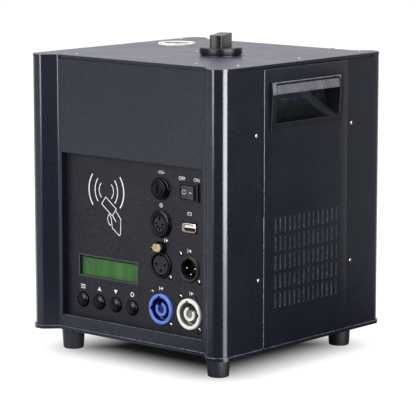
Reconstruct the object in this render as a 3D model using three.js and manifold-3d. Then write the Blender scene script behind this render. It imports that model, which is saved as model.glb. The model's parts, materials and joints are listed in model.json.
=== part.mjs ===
// Cold spark machine: a sheet-metal case that drops metal granules from a hopper
// into a heated tube and blows the sparks out of a nozzle in its lid.
// Lengths are millimetres. X runs to the right along the control side, Y to the back
// and Z up. The origin is on the floor, under the middle of the case.

import * as THREE from 'three';
import { mergeVertices } from 'three/addons/utils/BufferGeometryUtils.js';
import Module from 'manifold-3d';

const wasm = await Module();
wasm.setup();

// Shared values
const fitGap = 0.3;
const overrun = 4;
const roundSides = 20;
const innerSides = 12;
const smallSides = 6;
const hexSides = 6;
const bendSteps = 2;

// Case, folded from sheet
const caseWidth = 214;
const caseDepth = 212;
const caseHeight = 234;
const sheet = 1.5;
const bendRadius = 3.5;
const flareDepth = 10.5;
const stripWidth = 6.6;
const chamferWidth = 7.7;
const chamferDepth = 6;
const lidThickness = 2;
const lidOverhang = 0.3;
const lidShadowGap = 1.5;
const lidSkirtDepth = 8;
const lidSkirtWall = 1.2;
const panThickness = 1.5;
const panLipHeight = 3;
const panLipWall = 1;

// Feet
const footHeight = 19;
const footTopRadius = 9.9;
const footBottomRadius = 8.7;
const footEdge = 1.2;
const footInsetX = 25;
const footInsetY = 26.5;
const footRecessRadius = 4;
const footRecessDepth = 3.5;

// Side panels with their vents
const sidePanelWidth = 109;
const sidePanelCentreY = 0.8;
const sideSheet = 1;
const seamLap = 6;
const ventColumns = 14;
const ventRows = 5;
const ventWidth = 1.8;
const ventHeight = 12;
const ventPitchY = 6.15;
const ventPitchZ = 15.5;
const ventCentreY = 1.1;
const ventCentreZ = 90.5;

// Recessed handles
const handleWidth = 93.2;
const handleHeight = 38.8;
const handleTopMargin = 11.2;
const handleTopReach = 2.1;
const handleRidgeReach = 3.3;
const handleFootReach = 1.2;
const handleSideRim = 5.6;
const handleTopRim = 2.6;
const handleBottomRim = 5.5;
const handleDepth = 14.5;
const handleWall = 1.5;
const handleGripHeight = 7.6;
const handleScoopPower = 1.25;
const handleGripWall = 2;
const handleArcSteps = 6;

// Window in the front and the control panel behind it
const windowWidth = 158;
const windowBottom = 31.5;
const windowBottomMargin = 18;
const windowTopMargin = 21.3;
const windowSideMargin = 20;
const controlRecess = 7;
const controlSheet = 1.5;
const trayWall = 1.5;
const trayFlange = 6;

// Gaps between the things on the control panel
const columnGap = 5;
const powerRowGap = 5.9;
const dataRowGap = 1.55;
const mainsRowGap = 6.5;

// Display and its board
const displayWidth = 66.4;
const displayHeight = 17.3;
const displaySideMargin = 7;
const displayRise = 44.1;
const pane = 1.5;
const paneMargin = 3;
const lcdWidth = 80;
const lcdHeight = 34;
const lcdDepth = 6;
const lcdRecess = 1.3;
const boardThickness = 1.6;
const boardPostRadius = 1.8;
const boardPostInset = 2;
const displayBoardWidth = 90;
const displayBoardHeight = 60;
const displayBoardDrop = 9.5;
const switchSize = 6;

// Buttons under the display
const buttonRadius = 6.25;
const buttonDome = 3.6;
const buttonPitch = 18.8;
const buttonSideMargin = 17.9;
const buttonRise = 14.6;
const buttonCount = 4;
const buttonCollarRadius = 7.2;
const buttonCollar = 1;
const buttonStemRadius = 2;
const buttonStem = 3;
const buttonTravel = 1.2;
const domeSteps = 3;
const buttonSides = 16;

// Card reader board
const cardBoardSize = 58;
const cardBoardShift = 6;
const cardBoardTopMargin = 4;
const cardBoardPost = 2;

// Round sockets share a mounting plate
const socketPlateWidth = 26;
const socketPlateHeight = 31;
const socketPlate = 2;
const socketDepth = 24;

// Power sockets
const powerRadius = 12.8;
const powerRim = 2.8;
const powerLip = 2;
const powerCavity = 10;
const powerBodyRadius = 12;
const powerKeyRadius = 6.3;
const powerKeyWall = 2.4;
const powerKeySetback = 1.4;
const powerKeyOpening = 62;
const powerKeySteps = 8;
const powerInKeyAngle = 122;
const powerOutKeyAngle = 56;

// Three-pin signal sockets
const signalRadius = 11.15;
const signalFaceRadius = 8.5;
const signalGroove = 0.9;
const signalGrooveDepth = 2;
const signalLip = 1.6;
const signalFaceLip = 0.5;
const signalBodyRadius = 10.8;
const signalBevel = 0.6;
const signalInRadius = 10.75;
const signalInBore = 8.2;
const signalInCavity = 11;
const pinCircle = 4.8;
const pinRadius = 1.2;
const pinLength = 8.5;
const pinPlate = 1.5;
const pinHoleDepth = 8;
const pinAngles = [30, 150, 270];

// Latch of the signal output
const latchWidth = 10.5;
const latchHeight = 7;
const latchReach = 6.2;
const latchDepth = 10;
const latchGap = 0.6;
const latchChamfer = 1.2;
const latchTravel = 2;
const latchSlotWall = 2;

// Round controller socket
const dinRadius = 11.4;
const dinFaceRadius = 6.7;
const dinDome = 2.6;
const dinFaceSetback = 0.8;
const dinBodyRadius = 8;
const dinDepth = 16;
const dinNutRadius = 11.6;
const dinNut = 3;
const dinPinCircle = 4.2;
const dinPinRadius = 0.9;
const dinPinDepth = 7;
const dinPinCount = 5;
const dinPinSpread = 180;

// Data port
const usbWidth = 15;
const usbHeight = 7.2;
const usbWall = 0.8;
const usbLip = 1;
const usbDepth = 14;
const usbTongue = 2;
const usbTongueSetback = 2;

// Fuse holder
const fuseFlangeRadius = 9.5;
const fuseFlange = 2;
const fuseBodyRadius = 7.6;
const fuseBodyDepth = 32;
const fuseNutRadius = 11;
const fuseNut = 4;
const fuseCapRadius = 8;
const fuseCapHeight = 2.6;
const fuseCapBevel = 0.8;
const fuseSlotWidth = 1.8;
const fuseSlotDepth = 1.4;
const fuseStemRadius = 5.8;
const fuseStemDepth = 6;
const fuseRadius = 2.6;
const fuseLength = 20;

// Mains switch
const switchWidth = 21;
const switchHeight = 15;
const switchLip = 2;
const switchRim = 2;
const switchBodyWall = 1;
const switchBodyDepth = 20;
const switchCavity = 8.5;
const rockerSideGap = 0.9;
const rockerPivot = 1.5;
const rockerReach = 4.4;
const rockerDip = 1.2;
const rockerBack = 2.4;
const rockerBackShare = 0.62;
const rockerTilt = 8;

// Nozzle and its chimney
const nozzleSideInset = 37.5;
const nozzleRearInset = 66;
const nozzleRimRadius = 16.3;
const nozzleRim = 1.5;
const nozzleRimBevel = 0.7;
const nozzleSleeveRadius = 13.6;
const nozzleBore = 11.2;
const chimneyWall = 1.8;
const chimneyFlangeRadius = 20;
const chimneyFlange = 2;

// Heated tube under the chimney
const heaterHeight = 62;
const heaterJacketRadius = 27;
const heaterTubeWall = 3.2;
const heaterBandDepth = 2.5;
const heaterBandHeight = 8;
const heaterBandCount = 2;

// Blower under the heated tube
const blowerDepth = 32;
const blowerWall = 1.6;
const blowerStartRadius = 22.5;
const blowerGrowth = 10;
const blowerDuctWidth = 25;
const blowerTopAbovePan = 70;
const blowerInletRadius = 14;
const blowerSteps = 15;
const blowerStartAngle = 130;
const blowerBottomShare = 0.68;
const blowerFlange = 3;
const blowerFlangeWidth = 54;
const blowerClearance = 3;
const blowerFootWidth = 50;
const impellerRadius = 19;
const impellerWidth = 18;
const impellerPlate = 1.6;
const impellerHubRadius = 5;
const impellerBlades = 12;
const impellerBladeDepth = 6;
const impellerBladeWall = 1;
const impellerBladeLean = 25;
const shaftRadius = 1.6;
const shaftHoleRadius = 3;
const shaftReach = 9;
const blowerMotorRadius = 16;
const blowerMotorLength = 26;
const motorEdge = 1.5;

// Hopper and its filler
const fillerX = 26;
const fillerY = -11.8;
const hopperRadius = 30;
const hopperWall = 1.5;
const hopperDrum = 30;
const hopperCone = 30;
const hopperOutletRadius = 7;
const hopperOutlet = 5;
const fillerBore = 13;
const fillerWall = 2.4;
const fillerRim = 1.6;
const fillerRimHeight = 1;
const fillerNeck = 14;
const plugDepth = 10;
const plugGrooveDepth = 0.8;
const plugGrooveHeight = 2.4;
const capRadius = 17.8;
const capHeight = 5.6;
const capEdge = 0.8;
const gripHeight = 10.7;
const gripWidth = 11;
const gripLength = 33;
const gripRound = 2.5;
const gripTurn = 25;
const gripSteps = 5;

// Granule feed, from the hopper to the chimney
const feedRadius = 6.5;
const feedWall = 1.4;
const feedDropBelowHopper = 8;
const feedFlange = 2.5;
const feedFlangeRadius = 12;
const feedPortSetback = 9.6;
const feedBehindHopper = 14;
const augerShaftRadius = 1.6;
const augerClearance = 0.5;
const augerPitch = 16;
const augerFlightWall = 1.8;
const augerStepsPerTurn = 6;
const augerEndGap = 1.5;
const feedMotorRadius = 12;
const feedMotorLength = 34;
const feedMotorNeck = 9;

// Cooling fan behind the right-hand vents
const fanSize = 80;
const fanDepth = 20;
const fanBore = 37.5;
const fanCorner = 5;
const fanHubRadius = 15;
const fanStator = 3;
const fanStrutWidth = 3;
const fanStruts = 4;
const fanTipGap = 1;
const fanRotorDepth = 13;
const fanBlades = 7;
const fanBladeWidth = 16;
const fanBladeWall = 1.6;
const fanBladePitch = 38;
const fanPinRadius = 2;
const rotorRootShare = 0.9;

// Electrics inside
const supplyBlowerGap = 15;
const supplyFanGap = 9;
const supplyDepth = 108;
const supplyHeight = 36;
const supplyY = 14;
const supplyTerminalDepth = 12;
const supplyTerminalHeight = 16;
const supplyLip = 1.2;
const mainBoardWidth = 112;
const mainBoardHeight = 78;
const mainBoardX = 28;
const mainBoardZ = 132;
const mainBoardPost = 6;
const relayWidth = 19;
const relayHeight = 15;
const relayDepth = 16;
const relayCount = 3;
const relayPitch = 24;
const relayDrop = 22;
const capacitorRadius = 8;
const capacitorDepth = 22;
const capacitorPitch = 24;
const capacitorRise = 18;
const capacitorCount = 2;

// Finishes: colour, roughness and metalness
const finishes = {
  powder: [0x2c2d31, 0.55, 0.2],
  powderLid: [0x34343a, 0.5, 0.2],
  panel: [0x2e2e31, 0.6, 0.1],
  plastic: [0x1b1c1f, 0.5, 0],
  gloss: [0x101113, 0.2, 0],
  rubber: [0x141519, 0.85, 0],
  blue: [0x5a78dc, 0.35, 0],
  white: [0xe6e5e0, 0.35, 0],
  lcd: [0x4a8a3c, 0.3, 0],
  clear: [0xdfe8e2, 0.05, 0],
  board: [0x1f5a38, 0.6, 0],
  steel: [0x9a9ca0, 0.35, 0.9],
  chrome: [0xd8d8da, 0.12, 1],
  gold: [0xc9a24a, 0.25, 1],
  latch: [0xaaa079, 0.35, 0.6],
  ceramic: [0xe4e0d6, 0.6, 0],
  glass: [0xdde6e8, 0.05, 0],
};

// Levels and planes that several pieces share
const floorZ = footHeight + panThickness;
const lidTopZ = footHeight + caseHeight;
const lidUnderZ = lidTopZ - lidThickness;
const sideTopZ = lidUnderZ - lidShadowGap;
const handleTopZ = sideTopZ - handleTopMargin;
const handleBottomZ = handleTopZ - handleHeight;
const halfWidth = caseWidth / 2;
const halfDepth = caseDepth / 2;
const faceHalf = halfWidth - chamferWidth - stripWidth - flareDepth;
const faceY = flareDepth - halfDepth;
const faceBackY = faceY + sheet;
const controlY = faceY + controlRecess;
const controlBackY = controlY + controlSheet;
const sideOuterX = halfWidth + sideSheet;
const nozzleX = nozzleSideInset - halfWidth;
const nozzleY = halfDepth - nozzleRearInset;
const blowerTopZ = floorZ + blowerTopAbovePan;
const heaterTopZ = blowerTopZ + heaterHeight;
const hopperBottomZ = lidUnderZ - hopperDrum - hopperCone - hopperOutlet;
const feedZ = hopperBottomZ - feedDropBelowHopper;

// Places on the control panel, and the window that frames them
const columnOuter = windowWidth / 2 - windowSideMargin;
const columnInner = columnOuter - socketPlateWidth - columnGap;
const latchRise = signalRadius + latchGap + latchHeight / 2;
const latchGuideRise = latchRise + latchHeight / 2 + fitGap + latchSlotWall;
const rowPower = windowBottom + windowBottomMargin;
const rowSignal = rowPower + socketPlateHeight + powerRowGap;
const rowData = rowSignal + latchGuideRise + dinNutRadius + dataRowGap;
const rowMains = rowData + dinNutRadius + fuseNutRadius + mainsRowGap;
const windowHeight = rowMains + windowTopMargin - windowBottom;
const displayCentreX = displaySideMargin + lcdWidth / 2 - windowWidth / 2;
const displayCentreZ = windowBottom + displayRise;
const buttonFirstX = buttonSideMargin - windowWidth / 2;
const buttonZ = windowBottom + buttonRise;
const cardBoardCentreX = displayCentreX - cardBoardShift;
const cardBoardCentreZ = windowBottom + windowHeight - cardBoardTopMargin - cardBoardSize / 2;

// Plane outlines, as lists of [a, b] points
const rectangle = (a0, a1, b0, b1) => [[a0, b0], [a1, b0], [a1, b1], [a0, b1]];

function centred(width, height, [a, b] = [0, 0]) {
  return rectangle(a - width / 2, a + width / 2, b - height / 2, b + height / 2);
}

function arc(radius, fromAngle, toAngle, steps, [a, b] = [0, 0]) {
  return Array.from({ length: steps + 1 }, (_, i) => {
    const angle = THREE.MathUtils.degToRad(fromAngle + ((toAngle - fromAngle) * i) / steps);
    return [a + radius * Math.cos(angle), b + radius * Math.sin(angle)];
  });
}

function circle(radius, centre = [0, 0], sides = roundSides) {
  return arc(radius, 0, 360, sides, centre).slice(0, sides);
}

// Moves a path sideways, to its right for a positive distance, with mitred corners
function offset(path, distance, closed) {
  const count = path.length;
  const edgeNormal = (i) => {
    const [x0, y0] = path[(i + count) % count];
    const [x1, y1] = path[(i + 1 + count) % count];
    const length = Math.hypot(x1 - x0, y1 - y0);
    return [(y1 - y0) / length, (x0 - x1) / length];
  };
  return path.map(([x, y], i) => {
    const before = closed || i > 0 ? edgeNormal(i - 1) : edgeNormal(i);
    const after = closed || i < count - 1 ? edgeNormal(i) : edgeNormal(i - 1);
    const mitre = distance / (1 + before[0] * after[0] + before[1] * after[1]);
    return [x + (before[0] + after[0]) * mitre, y + (before[1] + after[1]) * mitre];
  });
}

// Rounds the corners of a path: left turns by one radius and right turns by the other
function softened(path, leftRadius, rightRadius, closed) {
  const count = path.length;
  return path.flatMap((corner, i) => {
    if (!closed && (i === 0 || i === count - 1)) return [corner];
    const point = new THREE.Vector2(...corner);
    const before = new THREE.Vector2(...path[(i + count - 1) % count]);
    const after = new THREE.Vector2(...path[(i + 1) % count]);
    const inward = point.clone().sub(before).normalize();
    const onward = after.clone().sub(point).normalize();
    const turn = Math.atan2(inward.cross(onward), inward.dot(onward));
    const radius = Math.max(turn > 0 ? leftRadius : rightRadius, 0);
    if (radius === 0) return [corner];
    const start = point.clone().addScaledVector(inward, -radius * Math.tan(Math.abs(turn) / 2));
    const toCentre = new THREE.Vector2(-inward.y, inward.x).multiplyScalar(Math.sign(turn) * radius);
    const centre = start.clone().add(toCentre);
    return Array.from({ length: bendSteps + 1 }, (_, k) => {
      const bent = start.clone().rotateAround(centre, (turn * k) / bendSteps);
      return [bent.x, bent.y];
    });
  });
}

// Solids
function solid(geometry) {
  geometry.deleteAttribute('normal');
  geometry.deleteAttribute('uv');
  const welded = mergeVertices(geometry);
  const corners = welded.attributes.position;
  const corner = (i) => new THREE.Vector3().fromBufferAttribute(corners, i);
  const faces = [];
  let volume = 0;
  for (let i = 0; i < welded.index.count; i += 3) {
    const face = [0, 1, 2].map((k) => welded.index.getX(i + k));
    const [a, b, c] = face;
    if (a !== b && b !== c && c !== a) {
      faces.push(face);
      volume += corner(a).dot(corner(b).cross(corner(c)));
    }
  }
  if (volume < 0) faces.forEach((face) => face.reverse());
  const vertProperties = new Float32Array(corners.array);
  const triVerts = new Uint32Array(faces.flat());
  return new wasm.Manifold(new wasm.Mesh({ numProp: 3, vertProperties, triVerts }));
}

const unitX = new THREE.Vector3(1, 0, 0);
const unitY = new THREE.Vector3(0, 1, 0);
const unitZ = new THREE.Vector3(0, 0, 1);
const prismBasis = {
  x: new THREE.Matrix4().makeBasis(unitY, unitZ, unitX),
  y: new THREE.Matrix4().makeBasis(unitX, unitZ, unitY),
  z: new THREE.Matrix4(),
};
const turnedBasis = {
  x: new THREE.Matrix4().makeBasis(unitY, unitX, unitZ),
  y: new THREE.Matrix4(),
  z: new THREE.Matrix4().makeBasis(unitX, unitZ, unitY),
};

const shapeOf = (outline) => new THREE.Shape(outline.map(([a, b]) => new THREE.Vector2(a, b)));
const joined = (first, ...others) => others.reduce((body, other) => body.add(other), first);
const cut = (first, ...others) => others.reduce((body, other) => body.subtract(other), first);

// A plane outline pushed along an axis. Outlines are (y, z), (x, z) or (x, y).
function prism(axis, outline, from, to, holes = []) {
  const options = { depth: to - from, bevelEnabled: false };
  const geometry = new THREE.ExtrudeGeometry(shapeOf(outline), options);
  geometry.translate(0, 0, from);
  geometry.applyMatrix4(prismBasis[axis]);
  return cut(solid(geometry), ...holes.map((hole) => prism(axis, hole, from - overrun, to + overrun)));
}

// A profile of [radius, place along the axis] points turned about an axis
function turned(axis, profile, centre = [0, 0, 0], sides = roundSides) {
  const points = profile.map(([radius, along]) => new THREE.Vector2(radius, along));
  const geometry = new THREE.LatheGeometry(points, sides);
  geometry.applyMatrix4(turnedBasis[axis]);
  geometry.translate(...centre);
  return solid(geometry);
}

function geometryOf(body) {
  const { vertProperties, triVerts } = body.getMesh();
  const geometry = new THREE.BufferGeometry();
  geometry.setAttribute('position', new THREE.BufferAttribute(new Float32Array(vertProperties), 3));
  geometry.setIndex(new THREE.BufferAttribute(new Uint32Array(triVerts), 1));
  return geometry;
}

// Turns a solid about Z, then moves it
function turnedTo(body, angle, place) {
  const geometry = geometryOf(body);
  geometry.rotateZ(angle);
  geometry.translate(...place);
  return solid(geometry);
}

function part(name, body, finish, place = [0, 0, 0]) {
  const geometry = geometryOf(body);
  geometry.computeVertexNormals();
  const [color, roughness, metalness] = finishes[finish];
  const mesh = new THREE.Mesh(geometry, new THREE.MeshStandardMaterial({ color, roughness, metalness }));
  mesh.name = name;
  mesh.position.set(...place);
  return mesh;
}

// Plan of the case: each corner flares forward to a strip and is chamfered
const cornerPath = [
  [faceHalf, faceY],
  [faceHalf + flareDepth, -halfDepth],
  [halfWidth - chamferWidth, -halfDepth],
  [halfWidth, chamferDepth - halfDepth],
];
const mirrored = (path, x, y) => path.map(([a, b]) => [a * x, b * y]);
const sharpCaseLoop = [
  ...cornerPath,
  ...mirrored(cornerPath, 1, -1).reverse(),
  ...mirrored(cornerPath, -1, -1),
  ...mirrored(cornerPath, -1, 1).reverse(),
];

function caseLoop(outward) {
  const loop = offset(sharpCaseLoop, outward, true);
  return softened(loop, bendRadius + outward, bendRadius - sheet - outward, true);
}

function shellSection() {
  const lapY = sidePanelCentreY - sidePanelWidth / 2 + seamLap;
  const path = [
    [-halfWidth, lapY],
    ...mirrored(cornerPath, -1, 1).reverse(),
    ...cornerPath,
    [halfWidth, lapY],
  ];
  const outer = softened(path, bendRadius, bendRadius - sheet, false);
  const inner = softened(offset(path, -sheet, false), bendRadius - sheet, bendRadius, false);
  return [...outer, ...inner.reverse()];
}

// The middle of the front and the sides stop short of the lid and leave a shadow line
function underLidGap(depthSign) {
  const low = lidUnderZ - lidShadowGap;
  const high = lidUnderZ + overrun;
  const faceEnds = [depthSign * (faceY - overrun), depthSign * (faceBackY + sheet)].sort((a, b) => a - b);
  const face = prism('z', rectangle(-faceHalf, faceHalf, ...faceEnds), low, high);
  const sideStart = chamferDepth + bendRadius - halfDepth;
  const sideEnds = [depthSign * sideStart, depthSign * overrun].sort((a, b) => a - b);
  const right = prism('z', rectangle(halfWidth - 2 * sheet, halfWidth + overrun, ...sideEnds), low, high);
  const left = prism('z', rectangle(-halfWidth - overrun, 2 * sheet - halfWidth, ...sideEnds), low, high);
  return [face, right, left];
}

const windowOutline = centred(windowWidth, windowHeight, [0, windowBottom + windowHeight / 2]);

function frontShell() {
  const shell = prism('z', shellSection(), floorZ, lidUnderZ);
  const opening = prism('y', windowOutline, faceY - overrun, faceBackY + sheet);
  return cut(shell, opening, ...underLidGap(1));
}

function rearShell() {
  const shell = prism('z', mirrored(shellSection(), 1, -1), floorZ, lidUnderZ);
  return cut(shell, ...underLidGap(-1));
}

function topLid() {
  const holes = [
    circle(nozzleSleeveRadius + fitGap, [nozzleX, nozzleY]),
    circle(fillerBore + fillerWall + fitGap, [fillerX, fillerY]),
  ];
  const plate = prism('z', caseLoop(lidOverhang), lidUnderZ, lidTopZ, holes);
  const skirtOut = -sheet - fitGap;
  const skirtHole = [caseLoop(skirtOut - lidSkirtWall)];
  const skirt = prism('z', caseLoop(skirtOut), lidUnderZ - lidSkirtDepth, lidUnderZ, skirtHole);
  return joined(plate, skirt);
}

function basePan() {
  const outside = caseLoop(fitGap + panLipWall);
  const plate = prism('z', outside, footHeight, floorZ);
  const lip = prism('z', outside, footHeight, footHeight + panLipHeight, [caseLoop(fitGap)]);
  return joined(plate, lip);
}

function foot() {
  return turned('z', [
    [0, footHeight],
    [footTopRadius, footHeight],
    [footBottomRadius, footEdge],
    [footBottomRadius - footEdge, 0],
    [footRecessRadius, 0],
    [footRecessRadius, footRecessDepth],
    [0, footRecessDepth],
  ], [0, 0, 0], innerSides);
}

// Side pieces are drawn for the right and mirrored for the left by side = -1
function sidePlate(side, outline, innerX, outerX, holes = []) {
  const ends = side > 0 ? [innerX, outerX] : [-outerX, -innerX];
  return prism('x', outline, ...ends, holes);
}

const handleMouthWidth = handleWidth - 2 * handleSideRim;
const handleMouthLow = handleBottomZ + handleBottomRim;
const handleMouthHigh = handleTopZ - handleTopRim;

function sidePanel(side) {
  const low = footHeight + panLipHeight + fitGap;
  const reach = sidePanelWidth / 2;
  const outline = rectangle(sidePanelCentreY - reach, sidePanelCentreY + reach, low, sideTopZ);
  const around = handleWall + fitGap;
  const mouthReach = handleMouthWidth / 2 + around;
  const holes = [rectangle(-mouthReach, mouthReach, handleMouthLow - around, handleMouthHigh + around)];
  for (let column = 0; column < ventColumns; column += 1) {
    for (let row = 0; row < ventRows; row += 1) {
      const y = ventCentreY + (column - (ventColumns - 1) / 2) * ventPitchY;
      const z = ventCentreZ + (row - (ventRows - 1) / 2) * ventPitchZ;
      holes.push(centred(ventWidth, ventHeight, [y, z]));
    }
  }
  return sidePlate(side, outline, halfWidth, sideOuterX, holes);
}

// Moulded handle: a frame that stands proudest along its grip, and behind it a scoop that
// curves out to the lower edge of the mouth
function handleCup(side) {
  const gripZ = handleMouthHigh - handleGripHeight;
  const ridgeX = sideOuterX + handleRidgeReach;
  const topX = sideOuterX + handleTopReach;
  const alongY = (points, width) => {
    const outline = points.map(([x, z]) => [side * x, z]);
    return prism('y', outline, -width / 2, width / 2);
  };
  const scoop = (depth, low) => Array.from({ length: handleArcSteps + 1 }, (_, i) => {
    const angle = (i / handleArcSteps) * (Math.PI / 2);
    const out = depth * Math.cos(angle) ** handleScoopPower;
    const down = (gripZ - low) * Math.sin(angle) ** handleScoopPower;
    return [sideOuterX - out, gripZ - down];
  });
  const frame = alongY([
    [sideOuterX, handleBottomZ],
    [sideOuterX + handleFootReach, handleBottomZ],
    [ridgeX, gripZ],
    [topX, handleTopZ],
    [sideOuterX, handleTopZ],
  ], handleWidth);
  const shellDepth = handleDepth + handleWall;
  const shellHigh = handleMouthHigh + handleWall;
  const shell = alongY([
    [sideOuterX - shellDepth, shellHigh],
    ...scoop(shellDepth, handleMouthLow - handleWall),
    [sideOuterX + fitGap, handleMouthLow - handleWall],
    [sideOuterX + fitGap, shellHigh],
  ], handleMouthWidth + 2 * handleWall);
  const hollow = alongY([
    [sideOuterX - handleDepth, handleMouthHigh],
    ...scoop(handleDepth, handleMouthLow),
    [ridgeX + overrun, handleMouthLow],
    [ridgeX + overrun, gripZ],
    [ridgeX - handleGripWall, gripZ],
    [topX - handleGripWall, handleMouthHigh],
  ], handleMouthWidth);
  return cut(joined(shell, frame), hollow);
}

const latchZ = rowSignal + latchRise;

// Control panel: a tray behind the window, with a cut-out for each thing that it carries
function controlPanel() {
  const centre = [0, windowBottom + windowHeight / 2];
  const outline = centred(windowWidth + 2 * trayWall, windowHeight + 2 * trayWall, centre);
  const flangeOutline = centred(windowWidth + 2 * trayFlange, windowHeight + 2 * trayFlange, centre);
  const round = (radius, x, z) => circle(radius + fitGap, [x, z]);
  const holes = [
    centred(displayWidth, displayHeight, [displayCentreX, displayCentreZ]),
    round(powerRadius, columnInner, rowPower),
    round(powerRadius, columnOuter, rowPower),
    round(signalRadius, columnInner, rowSignal),
    round(signalInRadius, columnOuter, rowSignal),
    round(dinBodyRadius, columnInner, rowData),
    centred(usbWidth + 2 * fitGap, usbHeight + 2 * fitGap, [columnOuter, rowData]),
    round(fuseBodyRadius, columnInner, rowMains),
    centred(switchWidth - 2 * switchBodyWall, switchHeight - 2 * switchBodyWall, [columnOuter, rowMains]),
  ];
  for (let i = 0; i < buttonCount; i += 1) {
    holes.push(round(buttonRadius, buttonFirstX + i * buttonPitch, buttonZ));
  }
  const latchSlot = centred(latchWidth + 2 * fitGap, latchHeight + 2 * fitGap, [columnInner, latchZ]);
  const plate = prism('y', outline, controlY, controlBackY, [...holes, latchSlot]);
  const walls = prism('y', outline, faceBackY, controlY, [windowOutline]);
  const flange = prism('y', flangeOutline, faceBackY, faceBackY + controlSheet, [windowOutline]);
  return joined(plate, walls, flange);
}

// Control parts are drawn at the origin: y = 0 is the panel's front, y grows inwards
const onPanel = (x, z) => [x, controlY, z];

// The plate's hole lies inside the wall of the socket that it carries
function socketFlange(innerRadius, outerRadius) {
  const outline = centred(socketPlateWidth, socketPlateHeight);
  const hole = circle((innerRadius + outerRadius) / 2);
  return prism('y', outline, controlSheet, controlSheet + socketPlate, [hole]);
}

function powerSocket(keyAngle) {
  const body = turned('y', [
    [0, socketDepth],
    [powerBodyRadius, socketDepth],
    [powerBodyRadius, controlSheet + socketPlate],
    [powerRadius, controlSheet],
    [powerRadius, -powerLip],
    [powerRadius - powerRim, -powerLip],
    [powerRadius - powerRim, powerCavity],
    [0, powerCavity],
  ]);
  const halfOpening = powerKeyOpening / 2;
  const from = keyAngle + halfOpening;
  const to = keyAngle + 360 - halfOpening;
  const outerArc = arc(powerKeyRadius, from, to, powerKeySteps);
  const innerArc = arc(powerKeyRadius - powerKeyWall, to, from, powerKeySteps);
  const key = prism('y', [...outerArc, ...innerArc], powerKeySetback - powerLip, powerCavity + controlSheet);
  return joined(body, socketFlange(powerRadius - powerRim, powerBodyRadius), key);
}

const pinPlaces = pinAngles.map((angle) => arc(pinCircle, angle, angle, 1)[0]);

function signalOut() {
  const grooveOuter = signalFaceRadius + signalGroove;
  const body = turned('y', [
    [0, socketDepth],
    [signalBodyRadius, socketDepth],
    [signalBodyRadius, controlSheet],
    [signalRadius, controlSheet],
    [signalRadius, signalBevel - signalLip],
    [signalRadius - signalBevel, -signalLip],
    [grooveOuter + signalBevel, -signalLip],
    [grooveOuter, signalBevel - signalLip],
    [grooveOuter, signalGrooveDepth],
    [signalFaceRadius, signalGrooveDepth],
    [signalFaceRadius, -signalFaceLip],
    [0, -signalFaceLip],
  ]);
  const holes = pinPlaces.map((place) => {
    return prism('y', circle(pinRadius, place, smallSides), -overrun, pinHoleDepth);
  });
  const slotWidth = latchWidth + 2 * fitGap;
  const slotHeight = latchHeight + 2 * fitGap;
  const latchCentre = [0, latchZ - rowSignal];
  const guideOutline = centred(slotWidth + 2 * latchSlotWall, slotHeight + 2 * latchSlotWall, latchCentre);
  const guideEnd = latchDepth + latchTravel + fitGap + latchSlotWall;
  const guide = prism('y', guideOutline, controlSheet, guideEnd);
  const slot = prism('y', centred(slotWidth, slotHeight, latchCentre), 0, guideEnd - latchSlotWall);
  return cut(joined(body, socketFlange(grooveOuter, signalBodyRadius), guide), ...holes, slot);
}

// A bevelled thumb tab on a stem that slides in the guide behind the panel
function signalLatch() {
  const halfHeight = latchHeight / 2;
  const side = [
    [-latchReach, latchChamfer - halfHeight],
    [latchChamfer - latchReach, -halfHeight],
    [latchDepth, -halfHeight],
    [latchDepth, halfHeight],
    [latchChamfer - latchReach, halfHeight],
    [-latchReach, halfHeight - latchChamfer],
  ];
  return prism('x', side, -latchWidth / 2, latchWidth / 2);
}

function signalIn() {
  const body = turned('y', [
    [0, socketDepth],
    [signalBodyRadius - signalBevel, socketDepth],
    [signalBodyRadius - signalBevel, controlSheet],
    [signalInRadius, controlSheet],
    [signalInRadius, signalBevel - signalLip],
    [signalInRadius - signalBevel, -signalLip],
    [signalInBore + signalBevel, -signalLip],
    [signalInBore, signalBevel - signalLip],
    [signalInBore, signalInCavity],
    [0, signalInCavity],
  ]);
  return joined(body, socketFlange(signalInBore, signalBodyRadius - signalBevel));
}

function signalPins() {
  const plateStart = signalInCavity - pinPlate;
  const plate = prism('y', circle(signalInBore - fitGap), plateStart, signalInCavity);
  const pins = pinPlaces.map((place) => {
    return prism('y', circle(pinRadius, place, smallSides), plateStart - pinLength, plateStart);
  });
  return joined(plate, ...pins);
}

function controllerSocket() {
  const dome = arc(1, 0, 90, domeSteps).map(([across, out]) => {
    return [dinFaceRadius + (dinRadius - dinFaceRadius) * across, -dinDome * out];
  });
  const body = turned('y', [
    [0, dinDepth],
    [dinBodyRadius, dinDepth],
    [dinBodyRadius, 0],
    ...dome,
    [dinFaceRadius, dinFaceSetback - dinDome],
    [0, dinFaceSetback - dinDome],
  ]);
  const nut = prism('y', circle(dinNutRadius, [0, 0], hexSides), controlSheet, controlSheet + dinNut);
  const step = dinPinSpread / (dinPinCount - 1);
  const holes = Array.from({ length: dinPinCount }, (_, i) => {
    const place = arc(dinPinCircle, 180 + i * step, 180 + i * step, 1)[0];
    return prism('y', circle(dinPinRadius, place, smallSides), -overrun, dinPinDepth);
  });
  return cut(joined(body, nut), ...holes);
}

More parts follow.
